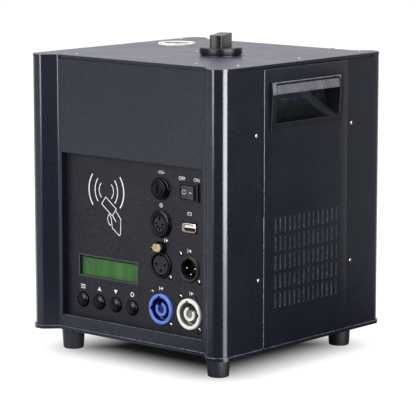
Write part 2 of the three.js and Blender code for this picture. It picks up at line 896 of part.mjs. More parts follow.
function usbSocket() {
  const inside = centred(usbWidth - 2 * usbWall, usbHeight - 2 * usbWall);
  const shell = prism('y', centred(usbWidth, usbHeight), -usbLip, usbDepth);
  const cavity = prism('y', inside, -overrun, usbDepth - usbWall);
  const top = usbHeight / 2 - 2 * usbWall;
  const tongueHalf = usbWidth / 2 - 2 * usbWall;
  const tongueOutline = rectangle(-tongueHalf, tongueHalf, top - usbTongue, top);
  const tongue = prism('y', tongueOutline, usbTongueSetback, usbDepth - usbWall / 2);
  const ear = centred(usbWidth + 2 * trayFlange, usbHeight + 2 * fitGap);
  const earHole = [centred(usbWidth - usbWall, usbHeight - usbWall)];
  const plate = prism('y', ear, controlSheet, controlSheet + usbWall, earHole);
  return joined(cut(shell, cavity), tongue, plate);
}

function fuseHolder() {
  const boreRadius = fuseStemRadius + fitGap;
  const fuseBore = fuseRadius + fitGap;
  const fuseStart = fuseStemDepth;
  const body = turned('y', [
    [0, fuseBodyDepth],
    [fuseBodyRadius, fuseBodyDepth],
    [fuseBodyRadius, 0],
    [fuseFlangeRadius, 0],
    [fuseFlangeRadius, fuseCapBevel - fuseFlange],
    [fuseFlangeRadius - fuseCapBevel, -fuseFlange],
    [boreRadius, -fuseFlange],
    [boreRadius, fuseStart + fitGap],
    [fuseBore, fuseStart + fitGap],
    [fuseBore, fuseStart + fuseLength + fitGap],
    [0, fuseStart + fuseLength + fitGap],
  ]);
  const nutHole = [circle(fuseBodyRadius - fitGap)];
  const nutOutline = circle(fuseNutRadius, [0, 0], hexSides);
  const nut = prism('y', nutOutline, controlSheet, controlSheet + fuseNut, nutHole);
  return joined(body, nut);
}

function fuseLink() {
  const fuseEndY = fuseStemDepth + fuseLength;
  return turned('y', [
    [0, -fuseFlange],
    [fuseStemRadius, -fuseFlange],
    [fuseStemRadius, fuseStemDepth],
    [fuseRadius, fuseStemDepth],
    [fuseRadius, fuseEndY],
    [0, fuseEndY],
  ], [0, 0, 0], innerSides);
}

function fuseCap() {
  const seatY = -fuseFlange - fitGap;
  const frontY = seatY - fuseCapHeight;
  const cap = turned('y', [
    [0, seatY],
    [fuseCapRadius, seatY],
    [fuseCapRadius, frontY + fuseCapBevel],
    [fuseCapRadius - fuseCapBevel, frontY],
    [0, frontY],
  ]);
  const slotOutline = centred(fuseSlotWidth, fuseCapRadius + fuseCapBevel);
  return cut(cap, prism('y', slotOutline, frontY - overrun, frontY + fuseSlotDepth));
}

function switchHousing() {
  const bodyWidth = switchWidth - 2 * switchBodyWall - 2 * fitGap;
  const bodyHeight = switchHeight - 2 * switchBodyWall - 2 * fitGap;
  const bezel = prism('y', centred(switchWidth, switchHeight), -switchLip, 0);
  const body = prism('y', centred(bodyWidth, bodyHeight), 0, switchBodyDepth);
  const cavityOutline = centred(switchWidth - 2 * switchRim, switchHeight - 2 * switchRim);
  return cut(joined(bezel, body), prism('y', cavityOutline, -overrun, switchCavity));
}

// The rocker's front is a shallow V. At rest its left half is pressed in.
function powerRocker() {
  const halfSpan = switchWidth / 2 - switchRim - rockerSideGap;
  const halfHeight = switchHeight / 2 - switchRim - fitGap;
  const backSpan = halfSpan * rockerBackShare;
  const section = [
    [-halfSpan, -rockerReach],
    [0, rockerDip - rockerReach],
    [halfSpan, -rockerReach],
    [halfSpan, 0],
    [backSpan, rockerBack],
    [-backSpan, rockerBack],
    [-halfSpan, 0],
  ];
  const tilt = THREE.MathUtils.degToRad(-rockerTilt);
  const tilted = section.map(([x, y]) => {
    return [x * Math.cos(tilt) - y * Math.sin(tilt), x * Math.sin(tilt) + y * Math.cos(tilt) + rockerPivot];
  });
  return prism('z', tilted, -halfHeight, halfHeight);
}

function button() {
  const dome = arc(1, 0, 90, domeSteps).map(([across, out]) => [buttonRadius * across, -buttonDome * out]);
  const collarEnd = controlSheet + fitGap + buttonCollar;
  return turned('y', [
    [0, collarEnd + buttonStem],
    [buttonStemRadius, collarEnd + buttonStem],
    [buttonStemRadius, collarEnd],
    [buttonCollarRadius, collarEnd],
    [buttonCollarRadius, controlSheet + fitGap],
    [buttonRadius, controlSheet + fitGap],
    ...dome.slice(0, -1),
    [0, -buttonDome],
  ], [0, 0, 0], buttonSides);
}

// Display: a clear pane behind the cut-out, the module behind it and their board
const lcdFrontY = controlBackY + pane;
const lcdBackY = lcdFrontY + lcdDepth;
const displayCentre = [displayCentreX, displayCentreZ];

function displayPane() {
  const outline = centred(displayWidth + 2 * paneMargin, displayHeight + 2 * paneMargin, displayCentre);
  return prism('y', outline, controlBackY, lcdFrontY);
}

function lcdModule() {
  const block = prism('y', centred(lcdWidth, lcdHeight, displayCentre), lcdFrontY, lcdBackY);
  const screen = centred(displayWidth, displayHeight, displayCentre);
  return cut(block, prism('y', screen, lcdFrontY - overrun, lcdFrontY + lcdRecess));
}

// A board with a post at each corner that reaches the panel
function boardOnPosts(width, height, [x, z], seatY, boardY) {
  const plate = prism('y', centred(width, height, [x, z]), boardY, boardY + boardThickness);
  const posts = [-1, 1].flatMap((a) => [-1, 1].map((b) => {
    const centre = [x + a * (width / 2 - boardPostInset), z + b * (height / 2 - boardPostInset)];
    const ends = [seatY, boardY + boardThickness / 2].sort((first, second) => first - second);
    return prism('y', circle(boardPostRadius, centre, smallSides), ...ends);
  }));
  return joined(plate, ...posts);
}

function displayBoard() {
  const centre = [displayCentreX, displayCentreZ - displayBoardDrop];
  const board = boardOnPosts(displayBoardWidth, displayBoardHeight, centre, controlBackY, lcdBackY);
  const stemEndY = controlY + controlSheet + fitGap + buttonCollar + buttonStem;
  const switches = Array.from({ length: buttonCount }, (_, i) => {
    const outline = centred(switchSize, switchSize, [buttonFirstX + i * buttonPitch, buttonZ]);
    return prism('y', outline, stemEndY + buttonTravel + fitGap, lcdBackY + boardThickness / 2);
  });
  return joined(board, ...switches);
}

function cardBoard() {
  const centre = [cardBoardCentreX, cardBoardCentreZ];
  return boardOnPosts(cardBoardSize, cardBoardSize, centre, controlBackY, controlBackY + cardBoardPost);
}

// Nozzle in the lid, chimney, and the heated tube in its jacket
const nozzleAxis = [nozzleX, nozzleY, 0];
const chimneyRadius = nozzleBore + chimneyWall;

function ringProfile(inner, outer, low, high) {
  return [[inner, low], [outer, low], [outer, high], [inner, high], [inner, low]];
}

function nozzleRing() {
  return turned('z', [
    [nozzleBore, lidUnderZ],
    [nozzleSleeveRadius, lidUnderZ],
    [nozzleSleeveRadius, lidTopZ],
    [nozzleRimRadius, lidTopZ],
    [nozzleRimRadius, lidTopZ + nozzleRim - nozzleRimBevel],
    [nozzleRimRadius - nozzleRimBevel, lidTopZ + nozzleRim],
    [nozzleBore, lidTopZ + nozzleRim],
    [nozzleBore, lidUnderZ],
  ], nozzleAxis);
}

const feedDirection = new THREE.Vector2(nozzleX - fillerX, nozzleY - fillerY);
const feedSpan = feedDirection.length();
const feedAngle = feedDirection.angle();

// Feed pieces are drawn along +X from the hopper's axis, then turned towards the chimney
const alongFeed = (body) => turnedTo(body, feedAngle, [fillerX, fillerY, feedZ]);

function nozzleTube() {
  const tube = turned('z', [
    [nozzleBore, heaterTopZ],
    [chimneyRadius, heaterTopZ],
    [chimneyRadius, lidUnderZ - chimneyFlange],
    [chimneyFlangeRadius, lidUnderZ - chimneyFlange],
    [chimneyFlangeRadius, lidUnderZ],
    [nozzleBore, lidUnderZ],
    [nozzleBore, heaterTopZ],
  ], nozzleAxis, innerSides);
  const portOutline = circle(feedRadius + fitGap, [0, 0], innerSides);
  const port = prism('x', portOutline, feedSpan - chimneyRadius - overrun, feedSpan);
  return cut(tube, alongFeed(port));
}

function heatingTube() {
  const profile = ringProfile(nozzleBore, nozzleBore + heaterTubeWall, blowerTopZ, heaterTopZ);
  return turned('z', profile, nozzleAxis, innerSides);
}

// The jacket is clamped by shallow bands
function heatingJacket() {
  const innerRadius = nozzleBore + heaterTubeWall + fitGap;
  const shellRadius = heaterJacketRadius - heaterBandDepth;
  const spacing = heaterHeight / heaterBandCount;
  const bands = Array.from({ length: heaterBandCount }, (_, i) => {
    const low = blowerTopZ + i * spacing + (spacing - heaterBandHeight) / 2;
    return [
      [shellRadius, low],
      [heaterJacketRadius, low],
      [heaterJacketRadius, low + heaterBandHeight],
      [shellRadius, low + heaterBandHeight],
    ];
  }).flat();
  return turned('z', [
    [innerRadius, blowerTopZ],
    [shellRadius, blowerTopZ],
    ...bands,
    [shellRadius, heaterTopZ],
    [innerRadius, heaterTopZ],
    [innerRadius, blowerTopZ],
  ], nozzleAxis, innerSides);
}

// Blower: a volute that grows clockwise, seen from the front, and turns up into a duct
const blowerEndRadius = blowerStartRadius + blowerGrowth;
const blowerX = nozzleX - blowerDuctWidth / 2 + blowerEndRadius;
const blowerBottomRadius = blowerStartRadius + blowerGrowth * blowerBottomShare;
const blowerZ = floorZ + blowerBottomRadius + blowerClearance;
const blowerFrontY = nozzleY - blowerDepth / 2;
const blowerBackY = nozzleY + blowerDepth / 2;

function voluteOutline(inset, top) {
  const sweep = blowerStartAngle + 180;
  const curve = Array.from({ length: blowerSteps + 1 }, (_, i) => {
    const share = i / blowerSteps;
    const radius = blowerStartRadius + blowerGrowth * share - inset;
    const angle = THREE.MathUtils.degToRad(blowerStartAngle - sweep * share);
    return [blowerX + radius * Math.cos(angle), blowerZ + radius * Math.sin(angle)];
  });
  const ductLeft = nozzleX - blowerDuctWidth / 2 + inset;
  const ductRight = nozzleX + blowerDuctWidth / 2 - inset;
  return [...curve, [ductLeft, top], [ductRight, top]];
}

function blowerHousing() {
  const outer = prism('y', voluteOutline(0, blowerTopZ - blowerFlange), blowerFrontY, blowerBackY);
  const innerOutline = voluteOutline(blowerWall, blowerTopZ - blowerFlange + overrun);
  const inside = prism('y', innerOutline, blowerFrontY + blowerWall, blowerBackY - blowerWall);
  const hub = [blowerX, blowerZ];
  const inletOutline = circle(blowerInletRadius, hub, innerSides);
  const inlet = prism('y', inletOutline, blowerFrontY - overrun, blowerFrontY + 2 * blowerWall);
  const shaftOutline = circle(shaftHoleRadius, hub, smallSides);
  const shaftHole = prism('y', shaftOutline, blowerBackY - 2 * blowerWall, blowerBackY + overrun);
  const flangeOutline = centred(blowerFlangeWidth, blowerDepth, [nozzleX, nozzleY]);
  const flangeHole = [circle(nozzleBore, [nozzleX, nozzleY], innerSides)];
  const flange = prism('z', flangeOutline, blowerTopZ - blowerFlange, blowerTopZ, flangeHole);
  const footX = [blowerX - blowerFootWidth / 2, blowerX + blowerFootWidth / 2];
  const footTop = blowerZ - blowerBottomRadius + blowerWall;
  const base = prism('z', rectangle(...footX, blowerFrontY, blowerBackY), floorZ, footTop);
  const reach = footTop + blowerClearance;
  const webWidth = blowerFootWidth / 2;
  const web = prism('z', centred(webWidth, blowerDepth, [blowerX, nozzleY]), floorZ, reach);
  const shell = cut(joined(outer, base, web), inside, inlet, shaftHole);
  return joined(shell, flange);
}

function blowerImpeller() {
  const back = blowerBackY - blowerWall - (blowerDepth - 2 * blowerWall - impellerWidth) / 2;
  const front = back - impellerWidth;
  const hub = [blowerX, blowerZ];
  const plate = prism('y', circle(impellerRadius, hub, innerSides), back - impellerPlate, back);
  const core = prism('y', circle(impellerHubRadius, hub, innerSides), front + impellerPlate, back);
  const shaftOutline = circle(shaftRadius, hub, smallSides);
  const shaft = prism('y', shaftOutline, back - impellerPlate, blowerBackY + shaftReach);
  const blades = Array.from({ length: impellerBlades }, (_, i) => {
    const angle = (i / impellerBlades) * 2 * Math.PI;
    const lean = angle + THREE.MathUtils.degToRad(impellerBladeLean);
    const tip = impellerRadius - impellerBladeWall;
    const tipX = blowerX + tip * Math.cos(angle);
    const tipZ = blowerZ + tip * Math.sin(angle);
    const along = [-Math.cos(lean) * impellerBladeDepth, -Math.sin(lean) * impellerBladeDepth];
    const across = [-Math.sin(lean) * impellerBladeWall / 2, Math.cos(lean) * impellerBladeWall / 2];
    const outline = [
      [tipX + across[0], tipZ + across[1]],
      [tipX - across[0], tipZ - across[1]],
      [tipX + along[0] - across[0], tipZ + along[1] - across[1]],
      [tipX + along[0] + across[0], tipZ + along[1] + across[1]],
    ];
    return prism('y', outline, front, back - impellerPlate / 2);
  });
  return joined(plate, core, shaft, ...blades);
}

function blowerMotor() {
  const end = blowerBackY + blowerMotorLength;
  const holeRadius = shaftRadius + fitGap;
  const holeEnd = blowerBackY + shaftReach + fitGap;
  return turned('y', [
    [holeRadius, blowerBackY],
    [blowerMotorRadius, blowerBackY],
    [blowerMotorRadius, end - motorEdge],
    [blowerMotorRadius - motorEdge, end],
    [0, end],
    [0, holeEnd],
    [holeRadius, holeEnd],
    [holeRadius, blowerBackY],
  ], [blowerX, 0, blowerZ], innerSides);
}

// Hopper under the lid, its filler collar, stopper and turning cap
const fillerAxis = [fillerX, fillerY, 0];
const collarRadius = fillerBore + fillerWall;
const capSeatZ = lidTopZ + fillerRimHeight + fitGap;

function hopper() {
  const drumZ = lidUnderZ - hopperDrum;
  const outletZ = drumZ - hopperCone;
  return turned('z', [
    [hopperOutletRadius, hopperBottomZ],
    [hopperOutletRadius + hopperWall, hopperBottomZ],
    [hopperOutletRadius + hopperWall, outletZ],
    [hopperRadius, drumZ],
    [hopperRadius, lidUnderZ],
    [collarRadius + fitGap, lidUnderZ],
    [collarRadius + fitGap, lidUnderZ - hopperWall],
    [hopperRadius - hopperWall, lidUnderZ - hopperWall],
    [hopperRadius - hopperWall, drumZ],
    [hopperOutletRadius, outletZ],
    [hopperOutletRadius, hopperBottomZ],
  ], fillerAxis);
}

function fillerNeckRing() {
  return turned('z', [
    [fillerBore, lidTopZ - fillerNeck],
    [collarRadius, lidTopZ - fillerNeck],
    [collarRadius, lidTopZ],
    [collarRadius + fillerRim, lidTopZ],
    [collarRadius + fillerRim, lidTopZ + fillerRimHeight],
    [fillerBore, lidTopZ + fillerRimHeight],
    [fillerBore, lidTopZ - fillerNeck],
  ], fillerAxis);
}

function fillerPlug() {
  const radius = fillerBore - fitGap;
  const bottom = lidTopZ - plugDepth;
  const middle = lidTopZ - plugDepth / 2;
  return turned('z', [
    [0, lidTopZ + fillerRimHeight],
    [radius, lidTopZ + fillerRimHeight],
    [radius, middle + plugGrooveHeight / 2],
    [radius - plugGrooveDepth, middle + plugGrooveHeight / 2],
    [radius - plugGrooveDepth, middle - plugGrooveHeight / 2],
    [radius, middle - plugGrooveHeight / 2],
    [radius, bottom],
    [0, bottom],
  ], fillerAxis, innerSides);
}

// A disc with a finger bar across it: the bar's ends follow the disc and its top is rounded
function fillerCap() {
  const discTop = capSeatZ + capHeight;
  const gripTop = discTop + gripHeight;
  const disc = turned('z', [
    [0, capSeatZ],
    [capRadius, capSeatZ],
    [capRadius, discTop - capEdge],
    [capRadius - capEdge, discTop],
    [0, discTop],
  ]);
  const half = gripLength / 2;
  const crown = [
    ...arc(gripRound, 0, 90, gripSteps, [half - gripRound, gripTop - gripRound]),
    ...arc(gripRound, 90, 180, gripSteps, [gripRound - half, gripTop - gripRound]),
  ];
  const foot = capSeatZ + capEdge;
  const bar = prism('y', [[-half, foot], [half, foot], ...crown], -gripWidth / 2, gripWidth / 2);
  const round = prism('z', circle(half), capSeatZ, gripTop + overrun);
  const barAngle = THREE.MathUtils.degToRad(90 + gripTurn);
  return turnedTo(joined(disc, bar.intersect(round)), barAngle, fillerAxis);
}

// Feed: a tube with an inlet stub under the hopper, an auger in it and a gear motor
const feedBore = feedRadius - feedWall;
const feedStart = -feedBehindHopper;
const feedEnd = feedSpan - feedPortSetback;

function feedTube() {
  const pipe = prism('x', circle(feedRadius, [0, 0], innerSides), feedStart, feedEnd);
  const flange = prism('x', circle(feedFlangeRadius, [0, 0], innerSides), feedStart, feedStart + feedFlange);
  const stubTop = feedDropBelowHopper - fitGap;
  const stub = prism('z', circle(hopperOutletRadius + hopperWall, [0, 0], innerSides), 0, stubTop);
  const bore = prism('x', circle(feedBore, [0, 0], innerSides), feedStart - overrun, feedEnd + overrun);
  const drop = prism('z', circle(feedBore, [0, 0], innerSides), 0, stubTop + overrun);
  return alongFeed(cut(joined(pipe, flange, stub), bore, drop));
}

function feedAuger() {
  const start = feedStart - feedMotorNeck;
  const end = feedEnd - augerEndGap;
  const shaft = prism('x', circle(augerShaftRadius, [0, 0], smallSides), start, end);
  const flightRadius = feedBore - augerClearance;
  const rootRadius = augerShaftRadius / 2;
  const from = feedStart + feedFlange;
  const turns = (end - augerFlightWall - from) / augerPitch;
  const steps = Math.round(turns * augerStepsPerTurn);
  const places = [];
  for (let i = 0; i <= steps; i += 1) {
    const angle = (i / augerStepsPerTurn) * 2 * Math.PI;
    const x = from + ((end - augerFlightWall - from) * i) / steps;
    for (const [radius, along] of [[rootRadius, 0], [flightRadius, 0], [flightRadius, 1], [rootRadius, 1]]) {
      places.push(x + along * augerFlightWall, radius * Math.cos(angle), radius * Math.sin(angle));
    }
  }
  const faces = [0, 1, 2, 0, 2, 3];
  for (let i = 0; i < steps; i += 1) {
    for (let k = 0; k < 4; k += 1) {
      const [a, b] = [i * 4 + k, i * 4 + ((k + 1) % 4)];
      faces.push(a, a + 4, b, b, a + 4, b + 4);
    }
  }
  const last = steps * 4;
  faces.push(last, last + 2, last + 1, last, last + 3, last + 2);
  const flight = new THREE.BufferGeometry();
  flight.setAttribute('position', new THREE.BufferAttribute(new Float32Array(places), 3));
  flight.setIndex(faces);
  return alongFeed(joined(shaft, solid(flight)));
}

function feedMotor() {
  const faceX = feedStart - fitGap;
  const holeRadius = augerShaftRadius + fitGap;
  const holeEnd = feedStart - feedMotorNeck - fitGap;
  const end = faceX - feedMotorLength;
  return alongFeed(turned('x', [
    [holeRadius, faceX],
    [feedMotorRadius, faceX],
    [feedMotorRadius, end + motorEdge],
    [feedMotorRadius - motorEdge, end],
    [0, end],
    [0, holeEnd],
    [holeRadius, holeEnd],
    [holeRadius, faceX],
  ], [0, 0, 0], innerSides));
}

// Cooling fan: a square frame on the right-hand panel and a bladed rotor
const fanCentre = [ventCentreY, ventCentreZ];
const fanInnerX = halfWidth - fanDepth;

function fanFrame() {
  const corner = fanSize / 2 - fanCorner;
  const outline = softened(centred(fanSize, fanSize, fanCentre), fanCorner, 0, true);
  const ring = prism('x', outline, fanInnerX, halfWidth, [circle(fanBore, fanCentre)]);
  const stator = prism('x', circle(fanHubRadius, fanCentre), fanInnerX, fanInnerX + fanStator);
  const struts = Array.from({ length: fanStruts }, (_, i) => {
    const angle = THREE.MathUtils.degToRad(45 + (i * 360) / fanStruts);
    const [along, across] = [[Math.cos(angle), Math.sin(angle)], [-Math.sin(angle), Math.cos(angle)]];
    const place = (reach, side) => fanCentre.map((middle, k) => {
      return middle + along[k] * reach + (across[k] * side * fanStrutWidth) / 2;
    });
    const reach = Math.hypot(corner, corner);
    const strut = [place(0, -1), place(reach, -1), place(reach, 1), place(0, 1)];
    return prism('x', strut, fanInnerX, fanInnerX + fanStator);
  });
  const pinEnd = fanInnerX + fanStator + fanRotorDepth / 2;
  const pin = prism('x', circle(fanPinRadius, fanCentre, smallSides), fanInnerX, pinEnd);
  return joined(ring, stator, ...struts, pin);
}

function fanRotor() {
  const back = fanInnerX + fanStator + fitGap;
  const front = back + fanRotorDepth;
  const middle = (back + front) / 2;
  const hub = prism('x', circle(fanHubRadius, fanCentre), back, front);
  const boreOutline = circle(fanPinRadius + fitGap, fanCentre, smallSides);
  const bore = prism('x', boreOutline, back - overrun, middle + 2 * fitGap);
  const pitch = THREE.MathUtils.degToRad(fanBladePitch);
  const alongBlade = [Math.sin(pitch) * fanBladeWidth / 2, Math.cos(pitch) * fanBladeWidth / 2];
  const acrossBlade = [Math.cos(pitch) * fanBladeWall / 2, -Math.sin(pitch) * fanBladeWall / 2];
  const section = [[1, 1], [1, -1], [-1, -1], [-1, 1]].map(([a, b]) => {
    return [a * alongBlade[0] + b * acrossBlade[0], a * alongBlade[1] + b * acrossBlade[1]];
  });
  const blades = Array.from({ length: fanBlades }, (_, i) => {
    const options = { depth: fanBore - fanTipGap - fanHubRadius * rotorRootShare, bevelEnabled: false };
    const blade = new THREE.ExtrudeGeometry(shapeOf(section), options);
    blade.translate(0, 0, fanHubRadius * rotorRootShare);
    blade.rotateX((i / fanBlades) * 2 * Math.PI);
    blade.translate(middle, ...fanCentre);
    return solid(blade);
  });
  const sweep = prism('x', circle(fanBore - fanTipGap, fanCentre), back, front);
  return cut(joined(hub, joined(...blades).intersect(sweep)), bore);
}

// Electrics on the pan and on the rear shell
function powerSupply() {
  const x0 = blowerX + blowerEndRadius + supplyBlowerGap;
  const x1 = fanInnerX - supplyFanGap;
  const y0 = supplyY - supplyDepth / 2;
  const y1 = supplyY + supplyDepth / 2;
  const top = floorZ + supplyHeight;
  const block = prism('z', rectangle(x0, x1, y0, y1), floorZ, top);
  const stepOutline = rectangle(x0 + supplyLip, x1 - supplyLip, y0 - overrun, y0 + supplyTerminalDepth);
  const step = prism('z', stepOutline, floorZ + supplyTerminalHeight, top + overrun);
  return cut(block, step);
}

function mainBoard() {
  const seatY = -faceBackY;
  const boardY = seatY - mainBoardPost - boardThickness;
  const board = boardOnPosts(mainBoardWidth, mainBoardHeight, [mainBoardX, mainBoardZ], seatY, boardY);
  const relays = Array.from({ length: relayCount }, (_, i) => {
    const x = mainBoardX + (i - (relayCount - 1) / 2) * relayPitch;
    const outline = centred(relayWidth, relayHeight, [x, mainBoardZ - relayDrop]);
    return prism('y', outline, boardY - relayDepth, boardY);
  });
  const capacitors = Array.from({ length: capacitorCount }, (_, i) => {
    const x = mainBoardX + (i - (capacitorCount - 1) / 2) * capacitorPitch;
    const outline = circle(capacitorRadius, [x, mainBoardZ + capacitorRise], innerSides);
    return prism('y', outline, boardY - capacitorDepth, boardY);
  });
  return joined(board, ...relays, ...capacitors);
}

// Assembly
const machine = new THREE.Group();

const caseGroup = new THREE.Group();
caseGroup.add(part('base_pan', basePan(), 'powder'));
caseGroup.add(part('top_lid', topLid(), 'powderLid'));
caseGroup.add(part('front_shell', frontShell(), 'powder'));
caseGroup.add(part('rear_shell', rearShell(), 'powder'));
for (const [name, side] of [['right', 1], ['left', -1]]) {
  caseGroup.add(part(`${name}_side_panel`, sidePanel(side), 'powder'));
  caseGroup.add(part(`${name}_handle_cup`, handleCup(side), 'plastic'));
}
const footX = halfWidth - footInsetX;
const footY = halfDepth - footInsetY;
const footPlaces = {
  foot_front_left: [-footX, -footY, 0],
  foot_front_right: [footX, -footY, 0],
  foot_rear_left: [-footX, footY, 0],
  foot_rear_right: [footX, footY, 0],
};
for (const [name, place] of Object.entries(footPlaces)) {
  caseGroup.add(part(name, foot(), 'rubber', place));
}
machine.add(caseGroup);

const controls = new THREE.Group();
controls.add(part('control_panel', controlPanel(), 'panel'));
controls.add(part('display_pane', displayPane(), 'clear'));
controls.add(part('lcd_module', lcdModule(), 'lcd'));
controls.add(part('display_board', displayBoard(), 'board'));
controls.add(part('card_reader_board', cardBoard(), 'board'));
['menu_button', 'up_button', 'down_button', 'enter_button'].forEach((name, i) => {
  controls.add(part(name, button(), 'gloss', onPanel(buttonFirstX + i * buttonPitch, buttonZ)));
});
const powerIn = powerSocket(powerInKeyAngle);
const powerOut = powerSocket(powerOutKeyAngle);
controls.add(part('power_in_socket', powerIn, 'blue', onPanel(columnInner, rowPower)));
controls.add(part('power_out_socket', powerOut, 'white', onPanel(columnOuter, rowPower)));
controls.add(part('dmx_out_socket', signalOut(), 'plastic', onPanel(columnInner, rowSignal)));
controls.add(part('dmx_out_latch', signalLatch(), 'latch', onPanel(columnInner, latchZ)));
controls.add(part('dmx_in_socket', signalIn(), 'plastic', onPanel(columnOuter, rowSignal)));
controls.add(part('dmx_in_pins', signalPins(), 'gold', onPanel(columnOuter, rowSignal)));
controls.add(part('controller_socket', controllerSocket(), 'gloss', onPanel(columnInner, rowData)));
controls.add(part('usb_socket', usbSocket(), 'chrome', onPanel(columnOuter, rowData)));
controls.add(part('fuse_holder', fuseHolder(), 'plastic', onPanel(columnInner, rowMains)));
controls.add(part('fuse_link', fuseLink(), 'glass', onPanel(columnInner, rowMains)));
controls.add(part('fuse_cap', fuseCap(), 'plastic', onPanel(columnInner, rowMains)));
controls.add(part('switch_housing', switchHousing(), 'gloss', onPanel(columnOuter, rowMains)));
controls.add(part('power_rocker', powerRocker(), 'gloss', onPanel(columnOuter, rowMains)));
machine.add(controls);

const sparkPath = new THREE.Group();
sparkPath.add(part('nozzle_ring', nozzleRing(), 'ceramic'));
sparkPath.add(part('nozzle_tube', nozzleTube(), 'steel'));
sparkPath.add(part('heating_tube', heatingTube(), 'steel'));
sparkPath.add(part('heating_jacket', heatingJacket(), 'ceramic'));
sparkPath.add(part('blower_housing', blowerHousing(), 'plastic'));
sparkPath.add(part('blower_impeller', blowerImpeller(), 'plastic'));
sparkPath.add(part('blower_motor', blowerMotor(), 'steel'));
machine.add(sparkPath);

const granulePath = new THREE.Group();
granulePath.add(part('hopper', hopper(), 'steel'));
granulePath.add(part('filler_neck', fillerNeckRing(), 'plastic'));
granulePath.add(part('filler_plug', fillerPlug(), 'rubber'));
granulePath.add(part('filler_cap', fillerCap(), 'plastic'));
granulePath.add(part('feed_tube', feedTube(), 'steel'));
granulePath.add(part('feed_auger', feedAuger(), 'steel'));
granulePath.add(part('feed_motor', feedMotor(), 'steel'));
machine.add(granulePath);

const electrics = new THREE.Group();
electrics.add(part('cooling_fan_frame', fanFrame(), 'plastic'));
electrics.add(part('cooling_fan_rotor', fanRotor(), 'plastic'));
electrics.add(part('power_supply', powerSupply(), 'steel'));
electrics.add(part('main_board', mainBoard(), 'board'));
machine.add(electrics);

export default machine;
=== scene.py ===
import json
from math import asin, atan2, copysign, cos, degrees, hypot, pi, radians, sin, sqrt, tan

import bmesh
import bpy
from mathutils import Matrix, Vector
from mathutils.geometry import tessellate_polygon


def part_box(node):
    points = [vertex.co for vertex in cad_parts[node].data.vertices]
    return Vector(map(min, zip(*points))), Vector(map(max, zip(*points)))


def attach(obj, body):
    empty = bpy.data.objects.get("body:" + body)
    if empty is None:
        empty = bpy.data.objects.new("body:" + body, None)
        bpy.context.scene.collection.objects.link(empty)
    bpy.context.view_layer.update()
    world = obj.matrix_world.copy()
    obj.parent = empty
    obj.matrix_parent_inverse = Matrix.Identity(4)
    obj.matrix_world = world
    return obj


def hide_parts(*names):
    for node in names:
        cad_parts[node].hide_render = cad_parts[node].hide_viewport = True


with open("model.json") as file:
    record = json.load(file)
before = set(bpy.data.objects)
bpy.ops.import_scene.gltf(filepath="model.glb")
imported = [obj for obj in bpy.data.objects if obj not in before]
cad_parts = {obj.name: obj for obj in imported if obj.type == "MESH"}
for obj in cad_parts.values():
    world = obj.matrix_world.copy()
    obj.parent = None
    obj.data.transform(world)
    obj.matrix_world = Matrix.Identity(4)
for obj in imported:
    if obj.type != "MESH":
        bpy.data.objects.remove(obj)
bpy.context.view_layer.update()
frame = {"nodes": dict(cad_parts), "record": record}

# Lengths in this script are millimetres, as on the real machine, and MM takes them to metres
MM = 0.001

# Sizes of the case, as in the CAD frame
HALF_W, HALF_D = 107.0, 106.0
SHEET, BEND = 1.5, 3.5
FLARE, STRIP = 10.5, 6.6
CHAMFER_X, CHAMFER_Y = 7.7, 6.0
STRIP_BEND, SIDE_BEND = 4.5, 7.0
FACE_HALF = HALF_W - CHAMFER_X - STRIP - FLARE
FACE_Y = FLARE - HALF_D
PAN_Z, FLOOR_Z, LID_UNDER, LID_Z = 19.0, 20.5, 251.0, 253.0
LID_GAP = 1.5
WINDOW_W, WINDOW_LOW, WINDOW_HIGH = 158.0, 31.5, 171.0
PANEL_Y = FACE_Y + 7.0
PANEL_BACK = PANEL_Y + SHEET
SIDE_X, SIDE_LOW = HALF_W + 1.0, 22.3
SIDE_Y = (-53.7, 55.3)
LAP_Y, JOGGLE = -48.0, 1.2
BEND_STEPS, ROUNDING_STEPS = 8, 5

# Sizes of the handles and of the vents in the side panels
HANDLE_HALF, HANDLE_LOW, HANDLE_HIGH = 46.6, 199.5, 238.3
MOUTH_HALF, MOUTH_LOW, MOUTH_HIGH, GRIP_Z = 41.0, 205.0, 235.7, 228.1
ROOF_Z = MOUTH_HIGH + 0.8
FOOT_X, RIDGE_X, TOP_X = SIDE_X + 1.2, SIDE_X + 3.3, SIDE_X + 2.1
SCOOP, SCOOP_WALL, SCOOP_CURVE = 14.5, 1.5, 1.25
VENT_COLUMNS, VENT_ROWS = 14, 5
VENT_PITCH, VENT_MIDDLE, SLOT = (6.15, 15.5), (1.1, 90.5), (1.8, 12.0)

# Columns, rows and openings of the control panel, and the middles of what stands on the lid
COL_IN, COL_OUT = 28.0, 59.0
ROW_POWER, ROW_SIGNAL, ROW_DATA, ROW_MAINS = 49.5, 86.4, 120.6, 149.7
LATCH_Z = ROW_SIGNAL + 15.25
PINS = [(-4.5, 0.4), (4.5, 0.4), (0, -4.5)]
BUTTON_X = [-61.1 + 18.8 * i for i in range(4)]
BUTTON_Z = 46.1
DISPLAY, DISPLAY_SIZE = (-32.0, 75.6), (66.4, 17.3)
NOZZLE, NOZZLE_HOLE = (-69.5, 40.0), 13.9
FILLER, FILLER_HOLE = (26.0, -11.8), 15.7


# Outlines are lists of (a, b) points in a plane, and profiles of (radius, place along the axis)
def rect(a0, a1, b0, b1):
    return [(a0, b0), (a1, b0), (a1, b1), (a0, b1)]


def centred(width, height, middle=(0, 0)):
    a, b = middle
    return rect(a - width / 2, a + width / 2, b - height / 2, b + height / 2)


def arc(radius, start, end, steps, middle=(0, 0)):
    turns = [radians(start + (end - start) * i / steps) for i in range(steps + 1)]
    return [(middle[0] + radius * cos(t), middle[1] + radius * sin(t)) for t in turns]


def circle(radius, middle=(0, 0), steps=64):
    return arc(radius, 0, 360, steps, middle)[:-1]


